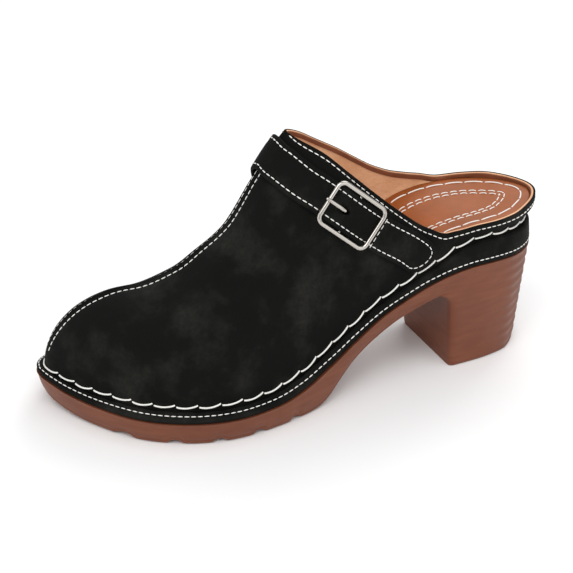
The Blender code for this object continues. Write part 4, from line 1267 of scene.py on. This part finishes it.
def strap_rows():
    """Machine rows along both edges of the strap, round its tail, and across beside the buckle."""
    half = STRAP_WIDTH / 2
    inner = half - STRAP_ROW_INSET
    lift = STRAP_THICKNESS * 1.06
    row = [strap_point(d, -inner / half, lift) for d in np.linspace(RUN[-1] - 0.001, half, 120)]
    for a in np.linspace(0, math.pi, 24)[1:-1]:
        d = half - inner * math.sin(a)
        row.append(strap_point(d, -inner / half * math.cos(a), lift))
    row += [strap_point(d, inner / half, lift) for d in np.linspace(half, RUN[-1] - 0.001, 120)]
    cross = buckle_distance() - FRAME_LENGTH / 2 - STRAP_ROW_INSET
    across = [strap_point(cross, a, lift) for a in np.linspace(-inner / half, inner / half, 14)]
    return [row, across]


def footbed_edge(s, side):
    """Edge of the footbed's top on one side."""
    y = side_point(s, side, core_inset)[0][:, 1]
    wall, inward = wall_at_height(s, side, insole_top(y), UPPER_WALL)
    return np.c_[wall[:, :2] + inward * 2 * FIT_GAP, insole_top(y)]


def on_footbed(xy):
    """Heights of the footbed's dished top at places on it."""
    s = np.linspace(0, 0.7, 300)
    edges = [footbed_edge(s, side) for side in (-1, 1)]
    left, right = (np.stack([np.interp(xy[:, 1], e[:, 1], e[:, k]) for k in (0, 2)], 1)
                   for e in edges)
    at = sum(np.interp(xy[:, 1], e[:, 1], s) for e in edges) / 2
    a = np.clip((xy[:, 0] - left[:, 0]) / (right[:, 0] - left[:, 0]), 0, 1)
    cup = INSOLE_CUP * smooth_step(0.0, 0.12, at) * smooth_step(1.0, 0.88, at)
    return left[:, 1] + (right[:, 1] - left[:, 1]) * a - cup * np.sin(math.pi * a) ** 0.9


def footbed_path(inset, last, steps):
    """Path on the footbed at a distance inside its edge, open ahead and round behind."""
    bend = np.linspace(0, math.pi / 2, 20)[1:]
    s = np.r_[np.linspace(last, 0.03, steps), 0.03 * (1 - np.sin(bend))]
    halves = []
    for side in (-1, 1):
        y = side_point(s, side, core_inset)[0][:, 1]
        wall, inward = wall_at_height(s, side, insole_top(y), UPPER_WALL)
        halves.append(wall[:, :2] + inward * (2 * FIT_GAP + inset))
    path = np.concatenate([halves[0], halves[1][::-1][1:]])
    return np.c_[path, on_footbed(path) + 0.0002]


def dashes(path, length, gap):
    """Cuts a path into lengths of thread whose ends dip into the leather."""
    p = np.array(path)
    run = np.r_[0, np.cumsum(np.linalg.norm(np.diff(p, axis=0), axis=1))]
    rows = []
    start = 0.0
    while start + length < run[-1]:
        at = np.linspace(start, start + length, 9)
        row = np.stack([np.interp(at, run, p[:, k]) for k in range(3)], 1)
        row[:, 2] += 0.00035 * np.sin(math.pi * np.linspace(0, 1, 9)) ** 0.5 - 0.0003
        rows.append(row)
        start += length + gap
    return rows


def make_stitches(paints):
    fine = sewing_nodes(paints["thread"])
    hand = thread_nodes(paints["thread"])
    sizes = {"Pitch": look().fine_pitch, "Length": look().fine_length, "Radius": FINE_RADIUS}
    sew("stitches_seam", "upper", fine, seam_rows(), **sizes)
    sew("stitches_topline", "upper", fine, topline_rows(), **sizes)
    sew("stitches_strip", "rand", fine, strip_rows(), **sizes)
    sew("stitches_strap", "strap", fine, strap_rows(), **sizes)
    sew("stitches_hand", "upper", hand, hand_rows(), Radius=look().cord_thickness / 2)
    long_row = dashes(footbed_path(FOOTBED_ROW_INSET, 0.50, 90), *FOOTBED_DASH)
    sew("stitches_footbed", "insole", hand, long_row, Radius=FOOTBED_THREAD)
    short = []
    for inset in PAD_ROW_INSETS:
        short += dashes(footbed_path(inset, 0.47, 80), *PAD_DASH)
    sew("stitches_pad", "insole", hand, short, Radius=PAD_THREAD)


# The binding across its width: distance below the top edge, and how far it stands off.
BINDING_PROFILE = (
    (0.0003, 0.0), (0.0005, 0.0004), (0.0014, 0.00045), (0.0026, 0.0004), (0.0028, 0.0),
)


def make_binding(paints):
    """Brown strip sewn along the inside of the collar."""
    shell = Shell()
    s = np.linspace(0.0, THROAT - 0.0005, 150)
    deep = UPPER_WALL + 0.0001
    for side in (-1, 1):
        rows = []
        for below, out in BINDING_PROFILE:
            angle = angle_below(s, side, below, deep)
            p = upper_point(s, side, angle, deep)
            _, n = upper_face(s, side, angle, deep)
            rows.append(p - n * out)
        shell.grid(rows + [rows[0]])
        for i in (0, len(s) - 1):
            shell.face([row[i] for row in rows])
    binding = add_piece("collar_binding", shell, [paints["binding"]], 60)
    hand_over(binding, "upper")


def look():
    return bpy.context.scene.mule_look


def shade(name):
    """Linear colour of a finish: the user's where the panel has one, else the table's."""
    chosen = getattr(look(), name + "_colour", None)
    return linear(COLOURS[name]) if chosen is None else tuple(chosen)


def linear(hex_colour):
    """Linear colour of an sRGB hex value."""
    parts = [int(hex_colour[i:i + 2], 16) / 255 for i in (0, 2, 4)]
    return tuple(c / 12.92 if c <= 0.04045 else ((c + 0.055) / 1.055) ** 2.4
                 for c in parts) + (1.0,)


def new_paint(name, colour, roughness, metallic=0.0):
    """Material with its Principled shader and the shoe's own coordinates."""
    made = bpy.data.materials.new(name)
    made.use_nodes = True
    tree = made.node_tree
    shader = tree.nodes["Principled BSDF"]
    shader.inputs["Base Color"].default_value = shade(colour)
    shader.inputs["Roughness"].default_value = roughness
    shader.inputs["Metallic"].default_value = metallic
    place = add_node(tree, "ShaderNodeTexCoord")
    return made, tree, shader, place.outputs["Object"]


def noise(tree, where, size, detail=4.0, rough=0.55):
    """Noise whose grains are about size metres wide."""
    return add_node(tree, "ShaderNodeTexNoise", [("Vector", where)], Scale=1 / size, Detail=detail,
                    Roughness=rough).outputs["Fac"]


def blend_colours(tree, amount, low, high):
    mix = add_node(tree, "ShaderNodeMix", [(0, amount)], data_type="RGBA")
    mix.inputs[6].default_value, mix.inputs[7].default_value = shade(low), shade(high)
    return mix.outputs[2]


def between(tree, value, low, high, to_low=0.0, to_high=1.0):
    node = add_node(tree, "ShaderNodeMapRange", [("Value", value)])
    ends = {"From Min": low, "From Max": high, "To Min": to_low, "To Max": to_high}
    for name, number in ends.items():
        node.inputs[name].default_value = number
    return node.outputs[0]


def bump(tree, shader, height, distance, strength=1.0, before=None):
    links = [("Height", height)] + ([("Normal", before)] if before else [])
    node = add_node(tree, "ShaderNodeBump", links, Distance=distance, Strength=strength)
    tree.links.new(node.outputs[0], shader.inputs["Normal"])
    return node.outputs[0]


def paint_nubuck():
    """Black nubuck: matt, with a short nap, cloudy lighter patches and soft wrinkles."""
    made, tree, shader, place = new_paint("Black nubuck", "nubuck", 0.88)
    cloud = noise(tree, place, 0.028, 5.0, 0.6)
    fleck = noise(tree, place, 0.0018, 3.0, 0.7)
    both = add_node(tree, "ShaderNodeMath", [(0, between(tree, cloud, 0.47, 0.72)), (1, fleck)],
                    operation="MULTIPLY").outputs[0]
    tree.links.new(blend_colours(tree, both, "nubuck", "nubuck_worn"),
                   shader.inputs["Base Color"])
    tree.links.new(between(tree, cloud, 0.3, 0.7, 0.94, 0.78), shader.inputs["Roughness"])
    shader.inputs["Specular IOR Level"].default_value = 0.1
    shader.inputs["Sheen Weight"].default_value = 0.01
    shader.inputs["Sheen Roughness"].default_value = 0.45
    soft = bump(tree, shader, noise(tree, place, 0.009, 3.0), 0.0006, 0.55)
    grain = bump(tree, shader, noise(tree, place, 0.0009, 3.0), 0.00012, 0.6, soft)
    bump(tree, shader, noise(tree, place, 0.00028, 2.0), 0.00006, 0.8, grain)
    return made


def paint_thread():
    """Waxed off-white thread with its twist."""
    made, tree, shader, place = new_paint("Waxed thread", "thread", 0.55)
    bump(tree, shader, noise(tree, place, 0.0005, 2.0), 0.00008, 0.6)
    return made


def paint_sole():
    """Moulded brown sole: satin, faintly streaked along its side, with a soft grain."""
    made, tree, shader, place = new_paint("Moulded brown sole", "sole", 0.46)
    shader.inputs["Specular IOR Level"].default_value = 0.3
    stretch = add_node(tree, "ShaderNodeMapping", [("Vector", place)])
    stretch.inputs["Scale"].default_value = (0.16, 0.16, 1.0)
    streak = noise(tree, stretch.outputs[0], 0.0024, 4.0, 0.6)
    patch = noise(tree, place, 0.03, 3.0)
    tone = add_node(tree, "ShaderNodeMath", [(0, streak), (1, patch)],
                    operation="MULTIPLY").outputs[0]
    tree.links.new(blend_colours(tree, between(tree, tone, 0.16, 0.36), "sole_deep", "sole"),
                   shader.inputs["Base Color"])
    tree.links.new(between(tree, patch, 0.3, 0.7, 0.40, 0.54), shader.inputs["Roughness"])
    lines = bump(tree, shader, streak, 0.0003, 0.35)
    bump(tree, shader, noise(tree, place, 0.0007, 3.0), 0.0001, 0.5, lines)
    return made


def paint_leather(name, colour, deep, size, roughness, depth):
    """Grained leather: a fine grain over soft wrinkles, a little darker in patches."""
    made, tree, shader, place = new_paint(name, colour, roughness)
    shader.inputs["Specular IOR Level"].default_value = 0.2
    patch = noise(tree, place, 0.02, 4.0)
    tree.links.new(blend_colours(tree, between(tree, patch, 0.35, 0.7), deep, colour),
                   shader.inputs["Base Color"])
    wrinkle = bump(tree, shader, noise(tree, place, size * 6, 3.0), depth * 2.5, 0.5)
    cells = add_node(tree, "ShaderNodeTexVoronoi", [("Vector", place)], Scale=1 / size)
    bump(tree, shader, cells.outputs["Distance"], depth, 0.5, wrinkle)
    return made


def paint_metal():
    """Polished silver plate with the faintest brushing."""
    made, tree, shader, place = new_paint("Silver plate", "silver", 0.12, 1.0)
    tree.links.new(between(tree, noise(tree, place, 0.002, 3.0), 0.3, 0.7, 0.08, 0.16),
                   shader.inputs["Roughness"])
    return made


def all_paints():
    return {
        "nubuck": paint_nubuck(),
        "thread": paint_thread(),
        "sole": paint_sole(),
        "insole": paint_leather("Tan footbed leather", "insole", "insole_deep",
                                0.0009, 0.50, 0.00008),
        "edge": paint_leather("Raw leather edge", "edge", "insole", 0.0006, 0.8, 0.00008),
        "lining": paint_leather("Peach lining", "lining", "lining_deep", 0.0012, 0.62, 0.00030),
        "binding": paint_leather("Brown binding", "binding", "binding_deep", 0.0008, 0.6, 0.00008),
        "silver": paint_metal(),
    }


# The studio: a white floor, broad soft lamps and the camera at the photo's angle.
CAMERA_AT = (-0.5646, 0.3414, 0.3786)
CAMERA_TARGET = (0.0, 0.090, 0.050)
CAMERA_LENS = 92.8
CAMERA_SHIFT = (-0.0157, -0.0113)
FLOOR_SIZE = 8.0
# Lamps by name, place and size in metres, and watts.
LAMPS = [
    ("key", (-0.7, 0.5, 1.2), 1.0, 9.0),
    ("fill", (-1.1, -0.7, 0.7), 1.2, 4.0),
    ("rim", (0.7, -0.6, 0.9), 0.8, 6.0),
    ("front", (-0.3, 1.4, 0.5), 1.0, 3.0),
]


def aim(obj, target):
    direction = Vector(target) - obj.location
    obj.rotation_euler = direction.to_track_quat("-Z", "Y").to_euler()


def make_stage():
    """Pale floor, soft lamps and camera."""
    mesh = bpy.data.meshes.new("studio_floor")
    half = FLOOR_SIZE / 2
    corners = [(-half, -half, 0), (half, -half, 0), (half, half, 0), (-half, half, 0)]
    mesh.from_pydata(corners, [], [(0, 1, 2, 3)])
    paint = bpy.data.materials.new("White floor")
    paint.use_nodes = True
    shader = paint.node_tree.nodes["Principled BSDF"]
    shader.inputs["Base Color"].default_value = (0.93, 0.93, 0.93, 1)
    shader.inputs["Roughness"].default_value = 0.9
    mesh.materials.append(paint)
    floor = bpy.data.objects.new("studio_floor", mesh)
    bpy.context.scene.collection.objects.link(floor)
    world = bpy.data.worlds.new("Studio")
    world.use_nodes = True
    world.node_tree.nodes["Background"].inputs["Color"].default_value = (1, 1, 1, 1)
    world.node_tree.nodes["Background"].inputs["Strength"].default_value = 0.62
    bpy.context.scene.world = world
    for name, place, size, watts in LAMPS:
        lamp = bpy.data.lights.new(name, "AREA")
        lamp.energy, lamp.size = watts, size
        holder = bpy.data.objects.new(name, lamp)
        holder.location = place
        aim(holder, CAMERA_TARGET)
        bpy.context.scene.collection.objects.link(holder)
    camera = bpy.data.cameras.new("photo_camera")
    camera.lens, camera.sensor_width = CAMERA_LENS, 36
    camera.shift_x, camera.shift_y = CAMERA_SHIFT
    camera.clip_start = 0.01
    holder = bpy.data.objects.new("photo_camera", camera)
    holder.location = CAMERA_AT
    aim(holder, CAMERA_TARGET)
    bpy.context.scene.collection.objects.link(holder)
    bpy.context.scene.camera = holder
    bpy.context.scene.view_settings.view_transform = "Standard"


class MuleLook(bpy.types.PropertyGroup):
    """Sizes and colours that a user would change."""
    pucker: bpy.props.FloatProperty(
        name="Pucker", description="Swell of the upper between hand stitches",
        default=PUCKER_DEPTH, min=0, max=0.003, unit="LENGTH", precision=5)
    fine_pitch: bpy.props.FloatProperty(
        name="Machine pitch", description="Pitch of the machine stitches",
        default=FINE_PITCH, min=0.001, max=0.01, unit="LENGTH", precision=5)
    fine_length: bpy.props.FloatProperty(
        name="Machine stitch", description="Length of a machine stitch",
        default=FINE_LENGTH, min=0.0005, max=0.01, unit="LENGTH", precision=5)
    cord_thickness: bpy.props.FloatProperty(
        name="Hand thread", description="Thickness of the hand stitches",
        default=2 * LONG_RADIUS, min=0.0003, max=0.002, unit="LENGTH", precision=5)
    rib_depth: bpy.props.FloatProperty(
        name="Rib depth", description="Depth of the ribs behind the heel",
        default=RIB_DEPTH, min=0, max=0.003, unit="LENGTH", precision=5)
    nubuck_colour: bpy.props.FloatVectorProperty(
        name="Nubuck", description="Colour of the upper and strap",
        default=linear(COLOURS["nubuck"]), subtype="COLOR", size=4, min=0, max=1)
    thread_colour: bpy.props.FloatVectorProperty(
        name="Thread", description="Colour of all the stitches",
        default=linear(COLOURS["thread"]), subtype="COLOR", size=4, min=0, max=1)
    sole_colour: bpy.props.FloatVectorProperty(
        name="Sole", description="Colour of the moulded sole",
        default=linear(COLOURS["sole"]), subtype="COLOR", size=4, min=0, max=1)
    insole_colour: bpy.props.FloatVectorProperty(
        name="Footbed", description="Colour of the footbed",
        default=linear(COLOURS["insole"]), subtype="COLOR", size=4, min=0, max=1)


PAINTS = {}


def paints():
    if not PAINTS:
        PAINTS.update(all_paints())
    return PAINTS


class MuleOperator:
    """Shared run of the shoe's operators."""
    bl_options = {"REGISTER", "UNDO"}

    def execute(self, context):
        self.make()
        return {"FINISHED"}


class MULE_OT_sole(MuleOperator, bpy.types.Operator):
    """Make the moulded sole"""
    bl_idname = "mule.sole"
    bl_label = "Moulded sole"

    def make(self):
        make_sole(paints())


class MULE_OT_rand(MuleOperator, bpy.types.Operator):
    """Make the stitched strip"""
    bl_idname = "mule.rand"
    bl_label = "Stitched strip"

    def make(self):
        make_rand(paints())


class MULE_OT_upper(MuleOperator, bpy.types.Operator):
    """Make the upper with its lining and binding"""
    bl_idname = "mule.upper"
    bl_label = "Upper"

    def make(self):
        make_upper(paints())
        make_binding(paints())


class MULE_OT_insole(MuleOperator, bpy.types.Operator):
    """Make the footbed"""
    bl_idname = "mule.insole"
    bl_label = "Footbed"

    def make(self):
        make_insole(paints())


class MULE_OT_strap(MuleOperator, bpy.types.Operator):
    """Make the strap"""
    bl_idname = "mule.strap"
    bl_label = "Strap"

    def make(self):
        make_strap(paints())


class MULE_OT_buckle(MuleOperator, bpy.types.Operator):
    """Make the buckle and its prong"""
    bl_idname = "mule.buckle"
    bl_label = "Buckle"

    def make(self):
        make_buckle(paints())


class MULE_OT_stitches(MuleOperator, bpy.types.Operator):
    """Sew the machine rows and the hand rows"""
    bl_idname = "mule.stitches"
    bl_label = "Stitches"

    def make(self):
        make_stitches(paints())


class MULE_OT_stage(MuleOperator, bpy.types.Operator):
    """Set up the floor, lamps and camera"""
    bl_idname = "mule.stage"
    bl_label = "Studio"

    def make(self):
        make_stage()


OPERATORS = (
    MULE_OT_sole, MULE_OT_rand, MULE_OT_upper, MULE_OT_insole, MULE_OT_strap,
    MULE_OT_buckle, MULE_OT_stitches, MULE_OT_stage,
)


class MULE_PT_panel(bpy.types.Panel):
    """Sidebar panel that lists the shoe's operators"""
    bl_idname = "MULE_PT_panel"
    bl_label = "Block heel mule"
    bl_space_type = "VIEW_3D"
    bl_region_type = "UI"
    bl_category = "Mule"

    def draw(self, context):
        for name in MuleLook.__annotations__:
            self.layout.prop(context.scene.mule_look, name)
        for operator in OPERATORS:
            self.layout.operator(operator.bl_idname)


CLASSES = (MuleLook, *OPERATORS, MULE_PT_panel)


def register():
    for each in CLASSES:
        bpy.utils.register_class(each)
    bpy.types.Scene.mule_look = bpy.props.PointerProperty(type=MuleLook)


def unregister():
    del bpy.types.Scene.mule_look
    for each in reversed(CLASSES):
        bpy.utils.unregister_class(each)


def main():
    register()
    for name in ("sole", "rand", "upper", "insole", "strap", "buckle", "stitches", "stage"):
        getattr(bpy.ops.mule, name)()


if __name__ == "__main__":
    main()
